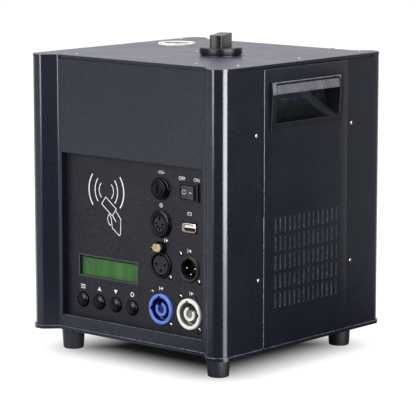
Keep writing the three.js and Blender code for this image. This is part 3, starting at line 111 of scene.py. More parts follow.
def turned(points, angle, middle=(0, 0)):
    """Turns an outline about the origin, by radians, and then moves it."""
    c, s = cos(angle), sin(angle)
    return [(middle[0] + a * c - b * s, middle[1] + a * s + b * c) for a, b in points]


def mirrored(path, x, y):
    return [(a * x, b * y) for a, b in path]


def soften(points, radius, steps=4, closed=True):
    """Rounds the corners of a path. The radius may be one number or one for each corner."""
    count = len(points)
    straight = 1e-6
    made = []
    for i, point in enumerate(points):
        r = radius[i] if isinstance(radius, (list, tuple)) else radius
        corner = Vector(point)
        before, after = Vector(points[i - 1]), Vector(points[(i + 1) % count])
        come, go = (corner - before).normalized(), (after - corner).normalized()
        turn = atan2(come.x * go.y - come.y * go.x, come.dot(go))
        if r <= 0 or abs(turn) < straight or (not closed and i in (0, count - 1)):
            made.append(tuple(point))
            continue
        reach = r * tan(abs(turn) / 2)
        start = corner - come * reach
        middle = start + Vector((-come.y, come.x)) * copysign(r, turn)
        arm = start - middle
        for k in range(steps + 1):
            made += turned([arm], turn * k / steps, middle)
    return made


def bend(points, radii, steps):
    """Rounds the corners of an open path."""
    return soften(points, radii, steps, closed=False)


def offset(path, distance, closed=True):
    """Moves a path to its right by a distance, with mitred corners."""
    count = len(path)

    def normal(i):
        x0, y0 = path[i % count]
        x1, y1 = path[(i + 1) % count]
        length = hypot(x1 - x0, y1 - y0)
        return (y1 - y0) / length, (x0 - x1) / length

    made = []
    for i, (x, y) in enumerate(path):
        before = normal(i - 1) if closed or i > 0 else normal(i)
        after = normal(i) if closed or i < count - 1 else normal(i - 1)
        mitre = distance / (1 + before[0] * after[0] + before[1] * after[1])
        made.append((x + (before[0] + after[0]) * mitre, y + (before[1] + after[1]) * mitre))
    return made


# Solids are pairs of corner points and faces
def at(axis, a, b, along):
    return {"x": (along, a, b), "y": (a, along, b), "z": (a, b, along)}[axis]


def combine(*solids):
    corners, faces = [], []
    for points, sides in solids:
        faces += [tuple(i + len(corners) for i in face) for face in sides]
        corners += points
    return corners, faces


def moved(solid, place, turn=0.0):
    """Turns a solid about z, by degrees, and moves it."""
    matrix = Matrix.Translation(place) @ Matrix.Rotation(radians(turn), 4, "Z")
    return [tuple(matrix @ Vector(c)) for c in solid[0]], solid[1]


def skin(rings, closed=False, caps=False):
    """Faces between rings of as many corners each. The last may join the first, or both ends be capped."""
    count = len(rings[0])
    corners = [corner for ring in rings for corner in ring]
    faces = []
    for i in range(len(rings) if closed else len(rings) - 1):
        low, high = i * count, (i + 1) % len(rings) * count
        faces += [(low + k, low + (k + 1) % count, high + (k + 1) % count, high + k) for k in range(count)]
    if caps:
        faces += [tuple(range(count)), tuple(range(len(corners) - count, len(corners)))]
    return corners, faces


def plate(axis, regions, walls, inner, outer, rounding=0.0):
    """A flat plate whose two faces are filled region by region. Walls are the loops where it really ends.

    The first wall is the outline, and its outer edge may be rounded.
    """
    outline = walls[0]
    rounded = offset(outline, -rounding) if rounding else outline
    solids = []
    for loops in regions:
        for along in (inner, outer):
            shown = [rounded if loop is outline and along == outer else loop for loop in loops]
            cap = tessellate_polygon([[Vector((a, b, 0)) for a, b in loop] for loop in shown])
            solids.append(([at(axis, a, b, along) for loop in shown for a, b in loop], cap))
    way = copysign(rounding, outer - inner)
    for loop in walls:
        rings = [(loop, inner)]
        if rounding and loop is outline:
            for turn in [pi / 2 * i / ROUNDING_STEPS for i in range(ROUNDING_STEPS)]:
                inset = offset(loop, rounding * (cos(turn) - 1))
                rings.append((inset, outer - way * (1 - sin(turn))))
        rings.append((rounded if loop is outline else loop, outer))
        solids.append(skin([[at(axis, a, b, along) for a, b in ring] for ring, along in rings]))
    return combine(*solids)


def slab(axis, outline, low, high, holes=()):
    """A flat plate with holes, pushed along an axis."""
    loops = [outline, *holes]
    return plate(axis, [loops], loops, low, high)


def lathe(axis, profile, centre=(0, 0, 0), steps=64, shift=None):
    """A profile turned about an axis. shift(angle, radius) moves a point outwards."""
    closed = profile[0] == profile[-1]
    turns = [2 * pi * k / steps for k in range(steps)]
    rings = []
    for radius, along in profile[:-1] if closed else profile:
        radii = [radius + (shift(degrees(t), radius) if shift and radius else 0) for t in turns]
        rings.append([at(axis, r * cos(t), r * sin(t), along) for r, t in zip(radii, turns)])
    corners, faces = skin(rings, closed)
    faces = [face for face in faces if len({corners[i] for i in face}) > 2]
    return [tuple(c + d for c, d in zip(corner, centre)) for corner in corners], faces


def rod(radius, low, high, centre, steps=64):
    """A plain round bar along y."""
    return lathe("y", [(0, low), (radius, low), (radius, high), (0, high)], centre, steps)


def keyways(angles, half, depth, within):
    """A shift for lathe() that cuts grooves at some angles into what is nearer to the axis than a radius."""
    def shift(angle, radius):
        near = any(min(abs(angle - key), 360 - abs(angle - key)) < half for key in angles)
        return depth if near and radius < within else 0
    return shift


def tube(path, radius, sides):
    """A round bar along points in space."""
    points = [Vector(p) for p in path]
    rings = []
    for i, point in enumerate(points):
        ahead = (points[min(i + 1, len(points) - 1)] - points[max(i - 1, 0)]).normalized()
        side = ahead.cross(Vector((0, 1, 0.01))).normalized()
        up = side.cross(ahead)
        turns = [2 * pi * k / sides for k in range(sides)]
        rings.append([tuple(point + (side * cos(t) + up * sin(t)) * radius) for t in turns])
    return skin(rings, caps=True)


# Objects made of solids
WELD = 1e-7
SHARP_EDGE = 50


def mesh_of(name, solid, keep_sides=False):
    """A mesh in metres with its corners welded and, unless told otherwise, its faces turned outwards."""
    mesh = bpy.data.meshes.new(name)
    mesh.from_pydata([Vector(c) * MM for c in solid[0]], [], solid[1])
    work = bmesh.new()
    work.from_mesh(mesh)
    bmesh.ops.remove_doubles(work, verts=work.verts, dist=WELD)
    if not keep_sides:
        bmesh.ops.recalc_face_normals(work, faces=work.faces)
    work.to_mesh(mesh)
    work.free()
    return mesh


def put(name, data):
    made = bpy.data.objects.new(name, data)
    bpy.context.scene.collection.objects.link(made)
    return made


def evaluated(made):
    """The mesh that an object's modifiers, or its text, come to."""
    bpy.context.view_layer.update()
    return bpy.data.meshes.new_from_object(made.evaluated_get(bpy.context.evaluated_depsgraph_get()))


def cut_out(made, solid):
    cutter = put("cutter", mesh_of("cutter", solid))
    hole = made.modifiers.new("Hole", "BOOLEAN")
    hole.object = cutter
    hole.operation = "DIFFERENCE"
    hole.solver = "EXACT"
    made.data = evaluated(made)
    made.modifiers.clear()
    bpy.data.objects.remove(cutter)


def round_edges(made, width, steps=2):
    bevel = made.modifiers.new("Rounded edges", "BEVEL")
    bevel.width = width * MM
    bevel.segments = steps
    bevel.limit_method = "ANGLE"
    bevel.angle_limit = radians(SHARP_EDGE)
    bevel.harden_normals = True


def piece(name, solid, finish, body="case", edge=0.0, steps=2, cad=(), smooth=38, keep_sides=False):
    """Makes a mesh object of a solid, and says what it rides on and which CAD nodes it replaces."""
    mesh = mesh_of(name, solid, keep_sides)
    mesh.shade_smooth()
    mesh.set_sharp_from_angle(angle=radians(smooth))
    mesh.materials.append(finish)
    made = put(name, mesh)
    if edge:
        round_edges(made, edge, steps)
    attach(made, body)
    if cad:
        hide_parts(*cad)
    return made


# Nodes of the materials and of the room
def feed(node, inputs):
    """Gives a node's inputs, which go by name or by number, values or other nodes' outputs."""
    for key, value in dict(inputs).items():
        if isinstance(value, bpy.types.NodeSocket):
            node.id_data.links.new(value, node.inputs[key])
        else:
            node.inputs[key].default_value = value


def add(tree, kind, inputs, **settings):
    """Adds a node, sets its properties and feeds its inputs."""
    made = tree.nodes.new("ShaderNode" + kind)
    for key, value in settings.items():
        setattr(made, key, value)
    feed(made, inputs)
    return made


def maths(tree, operation, *values):
    return add(tree, "Math", enumerate(values), operation=operation).outputs[0]


def vectors(tree, operation, *values):
    made = add(tree, "VectorMath", enumerate(values), operation=operation)
    return made.outputs["Value" if operation in ("LENGTH", "DOT_PRODUCT") else "Vector"]


def ranged(tree, value, start, end, low=0.0, high=1.0, easing="SMOOTHSTEP"):
    """Takes a value from one range to another and holds it there."""
    inputs = {"Value": value, "From Min": start, "From Max": end, "To Min": low, "To Max": high}
    return add(tree, "MapRange", inputs, interpolation_type=easing).outputs["Result"]


def mixed(tree, factor, first, second):
    inputs = {"Factor": factor, "A": first, "B": second}
    return add(tree, "Mix", inputs, data_type="RGBA").outputs["Result"]


def place_of(tree):
    return add(tree, "TexCoord", {}).outputs["Object"]


def axes_of(tree, vector):
    return add(tree, "SeparateXYZ", {"Vector": vector}).outputs


# Materials
IOR = 1.45
NOISE_LOW, NOISE_HIGH = 0.3, 0.7
SMOOTHEST = 0.02
BUMP_DEPTH = 0.05 * MM
slots = {}


def colour(rgb, factor=1.0):
    """sRGB numbers from 0 to 255 as a linear colour, made darker or paler by a factor."""
    plain = [((c / 255 + 0.055) / 1.055) ** 2.4 if c > 10 else c / 255 / 12.92 for c in rgb]
    return (*[min(1.0, max(0.0, c * factor)) for c in plain], 1.0)


def look(name, slot, rgb, roughness, specular=0.5, grain=0.08, mottle=0.1, metallic=0.0, mottle_size=30.0,
         grain_size=0.7, bump=0.15, bump_size=0.5, rough_spread=0.04, stretch=(1, 1, 1), alpha=1.0):
    """A procedural finish: broad mottling and fine grain in the colour, uneven gloss and a fine bump."""
    made = bpy.data.materials.new(name)
    made.use_nodes = True
    slots[made.name] = slot
    tree = made.node_tree
    spread = add(tree, "Mapping", {"Vector": place_of(tree), "Scale": stretch}).outputs["Vector"]

    def noise(size, detail):
        inputs = {"Vector": spread, "Scale": 1 / (size * MM), "Detail": detail}
        return add(tree, "TexNoise", inputs).outputs["Fac"]

    broad, fine = noise(mottle_size, 3), noise(grain_size, 1)
    share = maths(tree, "MULTIPLY", broad, mottle / (mottle + grain))
    ramp = add(tree, "ValToRGB", {"Fac": maths(tree, "MULTIPLY_ADD", fine, grain / (mottle + grain), share)})
    swing = (mottle + grain) * 2.0
    for end, position, way in zip(ramp.color_ramp.elements, (NOISE_LOW, NOISE_HIGH), (-1, 1)):
        end.position = position
        end.color = colour(rgb, 1 + way * swing)
    rough = (max(SMOOTHEST, roughness - rough_spread), roughness + rough_spread)
    relief = add(tree, "Bump", {"Strength": bump, "Distance": BUMP_DEPTH, "Height": noise(bump_size, 2)})
    feed(tree.nodes["Principled BSDF"], {
        "Metallic": metallic, "Specular IOR Level": specular, "IOR": IOR, "Alpha": alpha,
        "Base Color": ramp.outputs["Color"], "Normal": relief.outputs["Normal"],
        "Roughness": ranged(tree, broad, NOISE_LOW, NOISE_HIGH, *rough, "LINEAR"),
    })
    return made


# On the handles' hollow, in metres: where the painted shade low down ends, and the paler band's slope, place
# and fade
PAINTED_SHADE_END = (0.212, 0.223)
BAND_SLOPE, BAND_PLACE, BAND_FADE = 1.1, 0.2625, (0.003, 0.010, 0.85, 0.0)


def scratched_and_shaded(base):
    """The handles' hollow: fine pale scratches, painted shade that turns it near black low down, and a
    slanted paler band across it.
    """
    tree = base.node_tree
    shader = tree.nodes["Principled BSDF"]
    place = place_of(tree)
    drawn = add(tree, "Mapping", {"Vector": place, "Rotation": (0.9, 0, 0), "Scale": (60, 25, 420)})
    streaks = add(tree, "TexNoise", {"Vector": drawn.outputs["Vector"], "Scale": 1.0, "Detail": 4})
    scratch = ranged(tree, streaks.outputs["Fac"], 0.6, 0.78, easing="LINEAR")
    plain = shader.inputs["Base Color"].links[0].from_socket
    plain = mixed(tree, scratch, plain, colour((120, 122, 128)))
    axes = axes_of(tree, place)
    # Painted shade: the hollow's colour goes to near black towards the bottom
    plain = mixed(tree, ranged(tree, axes["Z"], *PAINTED_SHADE_END), colour((6, 9, 16)), plain)
    slant = maths(tree, "MULTIPLY_ADD", axes["Z"], BAND_SLOPE, axes["Y"])
    away = maths(tree, "ABSOLUTE", maths(tree, "SUBTRACT", slant, BAND_PLACE))
    band = ranged(tree, away, *BAND_FADE)
    feed(shader, {"Base Color": mixed(tree, band, plain, colour((78, 80, 88)))})
    return base


# Each has a name, a slot, an sRGB colour, and then roughness, specular level, grain and mottling
powder = look("powder_coat_charcoal", "powder_coat", (21, 27, 42), 0.22, 0.3, 0.26, 0.04, grain_size=1.2,
              bump=0.4, bump_size=0.6, rough_spread=0.012)
panel_paint = look("panel_paint", "powder_coat", (34, 34, 42), 0.38, 0.12, 0.24, 0.05, grain_size=1.1,
                   bump=0.3, rough_spread=0.02)
lid_paint_and_sheen = look("lid_paint_and_sheen", "powder_coat", (36, 35, 60), 0.38, 0.37, 0.1, 0.06, bump=0.2, bump_size=0.6)
# Paler paint: worn on the recess sill, and a painted highlight on the pan's brim
wear_and_highlight_paint = look("wear_and_highlight_paint", "powder_coat", (88, 92, 102), 0.4, 0.4, 0.45, 0.12, mottle_size=9,
                  grain_size=1.6)
# Pale edges: partly bare metal, partly a painted highlight
bare_metal_and_highlight = look("bare_metal_and_highlight", "powder_coat", (118, 121, 128), 0.4, 0.4, 0.45, 0.12, mottle_size=9,
                grain_size=1.6)
moulded = look("moulded_black", "moulded_plastic", (19, 20, 25), 0.3, 0.13, bump=0.2, bump_size=0.4)
frame_black = look("handle_black", "moulded_plastic", (12, 18, 32), 0.26, 0.2, bump=0.2, bump_size=0.4,
                   rough_spread=0.02)
grip_plastic = look("grip_plastic", "moulded_plastic", (88, 88, 98), 0.5, 0.3, 0.3, 0.16, mottle_size=12,
                    bump=0.5)
scoop_look = scratched_and_shaded(look("scoop_plastic", "moulded_plastic", (42, 50, 66), 0.3, 0.12, 0.06, 0.3,
                            mottle_size=7))
end_look = look("handle_end_plastic", "moulded_plastic", (15, 18, 23), 0.5, 0.15, 0.05, 0.08)
painted_highlight_plastic = look("painted_highlight_plastic", "moulded_plastic", (128, 130, 142), 0.35, 0.4, 0.1, 0.24, mottle_size=6)
cavity_black = look("cavity_black", "moulded_plastic", (6, 6, 8), 0.6, 0.1)
socket_black = look("socket_black", "moulded_plastic", (8, 9, 12), 0.16, 0.1, 0.03, 0.06, bump=0.04,
                    bump_size=1.5)
face_look = look("socket_face", "moulded_plastic", (38, 39, 44), 0.4, 0.12, 0.06, 0.05)
gloss_black = look("gloss_black", "gloss_black", (11, 12, 16), 0.12, 0.1, 0.03, 0.06, bump=0.03,
                   bump_size=1.5)
switch_black = look("switch_black", "gloss_black", (24, 25, 29), 0.2, 0.2, 0.03, 0.06, bump=0.03,
                    bump_size=1.5)
rocker_look = look("rocker_plastic", "gloss_black", (48, 49, 55), 0.3, 0.2, 0.05, 0.12, mottle_size=4,
                   bump=0.1, stretch=(0.25, 1, 1))
frame_grey = look("display_frame", "gloss_black", (68, 70, 76), 0.4, 0.3)
blue_plastic = look("blue_plastic", "blue_plastic", (100, 134, 224), 0.3, 0.25, 0.02, 0.03, bump=0.04)
# Darker copies of the socket plastics, as painted shade deep in the wells
blue_plastic_painted_shade = look("blue_plastic_painted_shade", "blue_plastic", (22, 32, 92), 0.35, 0.2, 0.04, 0.08, bump=0.05)
white_plastic = look("white_plastic", "white_plastic", (248, 248, 244), 0.35, 0.3, 0.01, 0.02, bump=0.04)
white_plastic_painted_shade = look("white_plastic_painted_shade", "white_plastic", (132, 129, 118), 0.45, 0.3, 0.03, 0.06, bump=0.05)
ink = look("white_ink", "white_plastic", (250, 250, 252), 0.6, 0.2, 0.03, 0.03, bump=0.05)
rocker_ink = look("rocker_ink", "white_plastic", (168, 184, 206), 0.5, 0.2, 0.03, 0.04, bump=0.05)
rubber = look("foot_rubber", "rubber", (30, 33, 45), 0.45, 0.3, 0.06, bump=0.3, bump_size=0.6)
ceramic = look("ceramic_white", "ceramic_white", (222, 220, 214), 0.5, 0.35, 0.03, 0.05, bump=0.2)
bore_tan = look("bore_tan", "steel", (150, 138, 122), 0.6, 0.3, 0.08, 0.2, metallic=0.2, mottle_size=6)
steel = look("brushed_steel", "steel", (168, 170, 174), 0.32, 0.5, 0.1, 0.06, metallic=1.0,
             stretch=(1, 1, 0.08))
screw_metal = look("screw_metal", "steel", (110, 101, 94), 0.2, 0.5, 0.1, 0.2, metallic=1.0, mottle_size=2,
                   bump=0.1)
dull_screw = look("dull_screw", "steel", (116, 104, 90), 0.36, 0.5, 0.1, 0.2, metallic=1.0, mottle_size=2,
                  bump=0.1)
chrome = look("chrome_plate", "chrome", (178, 170, 164), 0.24, 0.5, 0.03, metallic=1.0, mottle_size=3,
              bump=0.02)
gold = look("contact_gold", "contact_gold", (122, 98, 80), 0.24, 0.5, 0.03, 0.05, metallic=1.0, bump=0.05)
latch_metal = look("latch_metal", "latch_metal", (150, 140, 108), 0.34, 0.5, 0.08, 0.16, metallic=0.7,
                   mottle_size=3, bump=0.3)
lcd_green = look("lcd_green", "display_green", (62, 112, 50), 0.35, 0.1, 0.03, 0.16, mottle_size=8, bump=0.02,
                 stretch=(1, 1, 0.12))
board_green = look("board_green", "circuit_board", (38, 92, 62), 0.5, 0.4, 0.12, 0.15, mottle_size=5)
clear = look("clear_plastic", "clear_plastic", (110, 120, 114), 0.08, 0.12, 0.01, 0.01, bump=0.01, alpha=0.05)

# Finishes of the solids that keep their own shape
by_slot = {slots[finish.name]: finish for finish in (
    powder, moulded, gloss_black, blue_plastic, white_plastic, clear, lcd_green, board_green, rubber, steel,
    chrome, gold, latch_metal, ceramic)}
for part in frame["record"]["subparts"]:
    for material_slot in frame["nodes"][part["node"]].material_slots:
        material_slot.material = by_slot[part["material_slot"]]


# Case: bent sheets with fine bends
CORNER = [
    (FACE_HALF, FACE_Y),
    (FACE_HALF + FLARE, -HALF_D),
    (HALF_W - CHAMFER_X, -HALF_D),
    (HALF_W, CHAMFER_Y - HALF_D),
]


def case_loop(outward):
    """The case's outline seen from above, moved outward."""
    loop = [*CORNER, *mirrored(CORNER, 1, -1)[::-1],
            *mirrored(CORNER, -1, -1), *mirrored(CORNER, -1, 1)[::-1]]
    radii = [BEND - SHEET - outward, BEND + outward, STRIP_BEND + outward, SIDE_BEND + outward]
    return soften(offset(loop, outward), [*radii, *radii[::-1]] * 2, BEND_STEPS)


def shell(name, side):
    """One folded sheet: the face, both flared corners and the sides up to the side panels."""
    marks = [(-WINDOW_W / 2, FACE_Y), (WINDOW_W / 2, FACE_Y)] if side > 0 else [(0, FACE_Y)]
    gap_start = CHAMFER_Y + SIDE_BEND - HALF_D
    seam = SIDE_Y[0] if side > 0 else -SIDE_Y[1]
    inner = HALF_W - JOGGLE
    near = 0.01
    lap = [(HALF_W, gap_start), (HALF_W, seam - 0.5), (inner, seam - 0.2), (inner, LAP_Y)]
    path = [*mirrored(lap, -1, 1)[::-1], *mirrored(CORNER, -1, 1)[::-1], *marks, *CORNER, *lap]
    bends = [0, 0, 0, 0, SIDE_BEND, STRIP_BEND, BEND, BEND - SHEET]
    line = bend(path, [*bends, *([0] * len(marks)), *bends[::-1]], BEND_STEPS)
    levels = [FLOOR_Z, WINDOW_LOW, WINDOW_HIGH, LID_UNDER - LID_GAP, LID_UNDER]
    corners = [(x, y * side, z) for z in levels for x, y in line]
    faces = []
    for row in range(len(levels) - 1):
        for i in range(len(line) - 1):
            (x0, y0), (x1, y1) = line[i], line[i + 1]
            on_face = abs(y0 - FACE_Y) < near and abs(y1 - FACE_Y) < near
            in_window = side > 0 and row == 1 and on_face and abs(x0 + x1) < WINDOW_W
            on_side = min(y0, y1) > gap_start - near and abs(x0) > inner - near
            if in_window or (row == 3 and (on_face or on_side)):
                continue
            a = row * len(line) + i
            faces.append((a, a + 1, a + 1 + len(line), a + len(line))[::side])
    made = piece(name, (corners, faces), powder, cad=[name], keep_sides=True, smooth=50)
    sheet = made.modifiers.new("Sheet", "SOLIDIFY")
    sheet.thickness = SHEET * MM
    sheet.offset = -1
    sheet.use_even_offset = True
    round_edges(made, 0.35)


def lid():
    holes = [circle(NOZZLE_HOLE, NOZZLE), circle(FILLER_HOLE, FILLER)]
    paint = LID_Z - 0.35
    top = slab("z", case_loop(0.1), paint, LID_Z, holes)
    rim = slab("z", case_loop(0.3), LID_UNDER, paint - 0.01, holes)
    skirt = slab("z", case_loop(-1.8), LID_UNDER - 8, LID_UNDER - 0.01, [case_loop(-3.0)])
    # The top skin is a paler, bluer copy of the powder coat, tinted as painted sheen; the rim keeps the
    # powder coat
    piece("top_lid_plate", top, lid_paint_and_sheen, edge=0.2, cad=["top_lid"], smooth=50)
    piece("top_lid_rim", rim, powder, edge=0.3, smooth=50)
    piece("top_lid_skirt", skirt, powder, smooth=50)


def pan():
    """The floor with a lip round the case, and a pale brim on the lip, a painted highlight along its top
    edge.
    """
    outside, inside = case_loop(1.3), case_loop(0.3)
    lip_z = FLOOR_Z + 1
    sheet = combine(slab("z", outside, PAN_Z, FLOOR_Z), slab("z", outside, FLOOR_Z - 0.1, lip_z, [inside]))
    piece("base_pan_sheet", sheet, powder, edge=0.35, cad=["base_pan"], smooth=50)
    # Painted highlight: the brim's pale paint stands in for light on the lip's top edge
    piece("base_pan_brim", slab("z", outside, lip_z + 0.01, lip_z + 0.5, [inside]), wear_and_highlight_paint, edge=0.1)


def foot(node):
    low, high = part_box(node)
    place = ((low.x + high.x) / 2 / MM, (low.y + high.y) / 2 / MM, 0)
    wall = bend([(9.9, PAN_Z), (8.7, 0), (4, 0), (4, 3.5)], [0, 1.3, 0.4, 0], 5)
    piece(node + "_rubber", lathe("z", [(0, PAN_Z), *wall, (0, 3.5)], place), rubber, cad=[node])


shell("front_shell", 1)
shell("rear_shell", -1)
lid()
pan()
for foot_node in ("foot_front_left", "foot_front_right", "foot_rear_left", "foot_rear_right"):
    foot(foot_node)


# Side panels with their vents, and the moulded handles
def side_panel(name, side):
    """The plate with its hand hole and a grid of slots, and the bare edges that it was cut with, pale partly
    as bare metal and partly as a painted highlight.
    """
    mouth = centred(2 * MOUTH_HALF + 4, MOUTH_HIGH - MOUTH_LOW + 4, (0, (MOUTH_LOW + MOUTH_HIGH) / 2))
    outline = rect(*SIDE_Y, SIDE_LOW, LID_UNDER - LID_GAP)
    ys = [VENT_MIDDLE[0] + (i - VENT_COLUMNS / 2) * VENT_PITCH[0] for i in range(VENT_COLUMNS + 1)]
    zs = [VENT_MIDDLE[1] + (i - VENT_ROWS / 2) * VENT_PITCH[1] for i in range(VENT_ROWS + 1)]
    grid = [*[(y, zs[0]) for y in ys[:-1]], *[(ys[-1], z) for z in zs[:-1]],
            *[(y, zs[-1]) for y in ys[:0:-1]], *[(ys[0], z) for z in zs[:0:-1]]]
    regions, vents = [[outline, mouth, grid]], []
    for y0, y1 in zip(ys, ys[1:]):
        for z0, z1 in zip(zs, zs[1:]):
            vents.append(soften(centred(*SLOT, ((y0 + y1) / 2, (z0 + z1) / 2)), 0.85, 3))
            regions.append([rect(y0, y1, z0, z1), vents[-1]])
    sheet = plate("x", regions, [outline, mouth, *vents], side * HALF_W, side * SIDE_X, 0.8)
    piece(name + "_sheet", sheet, powder, cad=[name], smooth=30)
    # Partly bare metal and partly a painted highlight along the front edge and in the slots
    strip = rect(SIDE_Y[0] - 0.03, SIDE_Y[0] + 0.5, SIDE_LOW + 0.2, 130)
    bare = slab("x", strip, side * (SIDE_X - 0.75), side * (SIDE_X - 0.1))
    piece(name + "_bare_edge_highlight", bare, bare_metal_and_highlight, edge=0.15)
    low, high = sorted((side * (HALF_W + 0.05), side * (SIDE_X - 0.05)))
    edges = [slab("x", offset(vent, 0.01), low, high, [offset(vent, -0.14)]) for vent in vents]
    piece(name + "_slot_edges", combine(*edges), bare_metal_and_highlight)


def lean(z):
    """How far out a handle's front stands at a height."""
    if z < GRIP_Z:
        return FOOT_X + (RIDGE_X - FOOT_X) * (z - HANDLE_LOW) / (GRIP_Z - HANDLE_LOW)
    return RIDGE_X + (TOP_X - RIDGE_X) * (z - GRIP_Z) / (HANDLE_HIGH - GRIP_Z)


def painted_highlight_rim():
    """A thin skin on the upper corner of a handle's frame, and pale lines along its top and down one side, as
    a painted highlight where the frame catches the light.
    """
    low_z, high_z = GRIP_Z + 0.4, HANDLE_HIGH - 0.5
    start, end = -HANDLE_HALF + 0.5, -MOUTH_HALF - 0.3
    layers = [[(lean(z) + lift, y, z) for y, z in rect(start, end, low_z, high_z)] for lift in (0.0, 0.12)]
    top = soften(centred(0.7, 0.9, (TOP_X - 0.03, HANDLE_HIGH - 0.45)), 0.3, 3)
    post = soften(centred(0.5, 0.7, (TOP_X + 0.1, MOUTH_HALF + 0.85)), 0.2, 3)
    return combine(skin(layers, caps=True), slab("y", top, start, MOUTH_HALF + 1.2),
                   slab("z", post, GRIP_Z, high_z))


def scoop():
    """The hollow, which curves out to the mouth's lower edge, and the walls at its two ends."""
    steps, lip, back_x = 24, SIDE_X + 0.8, SIDE_X - SCOOP
    turns = [pi / 2 * i / steps for i in range(steps + 1)]
    curve = [(SIDE_X - SCOOP * cos(t) ** SCOOP_CURVE,
              GRIP_Z - (GRIP_Z - MOUTH_LOW) * sin(t) ** SCOOP_CURVE) for t in turns]
    section = [(back_x, MOUTH_HIGH), *curve, (lip, MOUTH_LOW)]
    back = offset(section, SCOOP_WALL, closed=False)
    walls = slab("y", [*section, *back[::-1]], -MOUTH_HALF, MOUTH_HALF)
    roof = slab("y", rect(back_x - SCOOP_WALL, lip, ROOF_Z, MOUTH_HIGH + 2), -MOUTH_HALF, MOUTH_HALF)
    ends = [slab("y", [*section, (lip, MOUTH_HIGH)], y, y + SCOOP_WALL)
            for y in (-MOUTH_HALF - SCOOP_WALL, MOUTH_HALF)]
    return combine(walls, roof), combine(*ends)


def handle(name, side):
    """A frame that stands proudest along its grip, a scoop behind it and a rough pad on the grip."""
    def outward(solid):
        return [(x * side, y, z) for x, y, z in solid[0]], solid[1]

    profile = [(SIDE_X, HANDLE_LOW), (FOOT_X, HANDLE_LOW), (RIDGE_X, GRIP_Z), (TOP_X, HANDLE_HIGH),
               (SIDE_X, HANDLE_HIGH)]
    made = piece(name + "_frame", outward(slab("y", profile, -HANDLE_HALF, HANDLE_HALF)), frame_black,
                 cad=[name], smooth=8)
    # Painted shade: the frame's end that faces the control side takes the black as a painted shadow gap
    made.data.materials.append(cavity_black)
    for face in made.data.polygons:
        face.material_index = int(face.normal.y < -0.9)
    mouth = rect(SIDE_X - 5, SIDE_X + 9, MOUTH_LOW, ROOF_Z)
    cut_out(made, outward(slab("y", mouth, -MOUTH_HALF, MOUTH_HALF)))
    round_edges(made, 0.5, 3)
    # Painted shade: the rounded edges take the black too, so that they show no highlight
    made.modifiers[-1].material = 1
    # Painted highlight on the frame's upper corner and top edge
    piece(name + "_painted_highlight_rim", outward(painted_highlight_rim()), painted_highlight_plastic, smooth=60)
    hollow, ends = scoop()
    piece(name + "_scoop", outward(hollow), scoop_look)
    piece(name + "_ends", outward(ends), end_look)
    groove = 0.7
    top = ROOF_Z - groove
    pad = soften([(lean(top) - 0.15, top), (lean(GRIP_Z) - 0.1, GRIP_Z + 0.2), (RIDGE_X - 2.2, GRIP_Z + 0.2),
                  (TOP_X - 2.4, top)], [0.5, 0.7, 0.5, 0.2], 4)
    reach = MOUTH_HALF - groove
    piece(name + "_grip", outward(slab("y", pad, -reach, reach)), grip_plastic, edge=0.35, steps=3)


side_panel("right_side_panel", 1)
side_panel("left_side_panel", -1)
handle("right_handle_cup", 1)
handle("left_handle_cup", -1)


# Screws with a domed head and a cross recess. They share one piece for each side that they sit on.
FACING = {
    "front": Matrix.Rotation(pi / 2, 4, "X"),
    "right": Matrix.Rotation(pi / 2, 4, "Y"),
    "left": Matrix.Rotation(-pi / 2, 4, "Y"),
    "up": Matrix.Identity(4),
    "down": Matrix.Rotation(pi, 4, "X"),
}


def screw(radius, height, turn):
    """One head about the Z axis, standing on z = 0, and the floor of its cross recess, drawn black as painted
    shade.
    """
    rings, steps = 12, 48
    depth, arm, hub = 0.34 * radius, 0.78 * radius, 0.52 * radius
    rows = [[(0, 0, height - depth)] * steps]
    for i in range(1, rings + 1):
        r = radius * i / rings
        top = height * sqrt(max(0.0, 1 - 0.8 * (i / rings) ** 3))
        rows.append([])
        for angle in [2 * pi * k / steps for k in range(steps)]:
            across = sorted((abs(r * cos(angle - turn)), abs(r * sin(angle - turn))))
            sunk = r < hub or (across[0] < 0.28 * radius and across[1] < arm)
            rows[-1].append((r * cos(angle), r * sin(angle), top - (depth if sunk else 0)))
    rows += [[(a, b, 0) for a, b in circle(radius, steps=steps)], [(0, 0, 0)] * steps]
    half, near = 0.29 * radius, 0.4 * radius
    quarter = [(arm, -half), (arm, half), (near, half), (half, near)]
    cross = [point for k in range(4) for point in turned(quarter, pi / 2 * k)]
    return skin(rows), slab("z", turned(cross, turn), 0.1 * height, height - 0.12 * radius)


def screws(name, facing, places, radius=1.6, height=0.7, finish=dull_screw):
    heads, recesses = [], []
    for i, place in enumerate(places):
        matrix = Matrix.Translation(place) @ FACING[facing]
        for made, (corners, faces) in zip((heads, recesses), screw(radius, height, 0.5 + 1.7 * i)):
            made.append(([tuple(matrix @ Vector(c)) for c in corners], faces))
    piece(name, combine(*heads), finish, smooth=45)
    # Painted shade: the recess floors are black
    piece(name + "_recesses", combine(*recesses), cavity_black)


screws("socket_screws", "front", [
    (x + dx, PANEL_Y, row + dz) for row, pair in ((ROW_POWER, ((-10, 12.5), (10, -12.5))),
                                                  (ROW_SIGNAL, ((-10.2, 11.3), (9.6, -9.9))))
    for x in (COL_IN, COL_OUT) for dx, dz in pair], 2.5, 1.1, screw_metal)
SIDE_SCREWS = [(-62, 197), (62, 196), (-59, 79), (62, 79)]
screws("right_side_screws", "right", [(HALF_W, y, z) for y, z in SIDE_SCREWS])
screws("left_side_screws", "left", [(-HALF_W, y, z) for y, z in SIDE_SCREWS])
LID_SCREWS = [(-72, -83), (-104.0, -76), (58, -79), (-9, -2), (95, -71), (42.6, 0.3), (-102, 3), (-102, 82),
              (93, 9), (93, 90), (59, 97)]
screws("lid_screws", "up", [(x, y, LID_Z) for x, y in LID_SCREWS], 1.5, 0.6)
PAN_SCREWS = [(-96, -40), (-96, 40), (96, -40), (96, 40), (-40, -88), (-40, 88), (40, -88), (40, 88)]
screws("pan_screws", "down", [(x, y, PAN_Z) for x, y in PAN_SCREWS], finish=screw_metal)


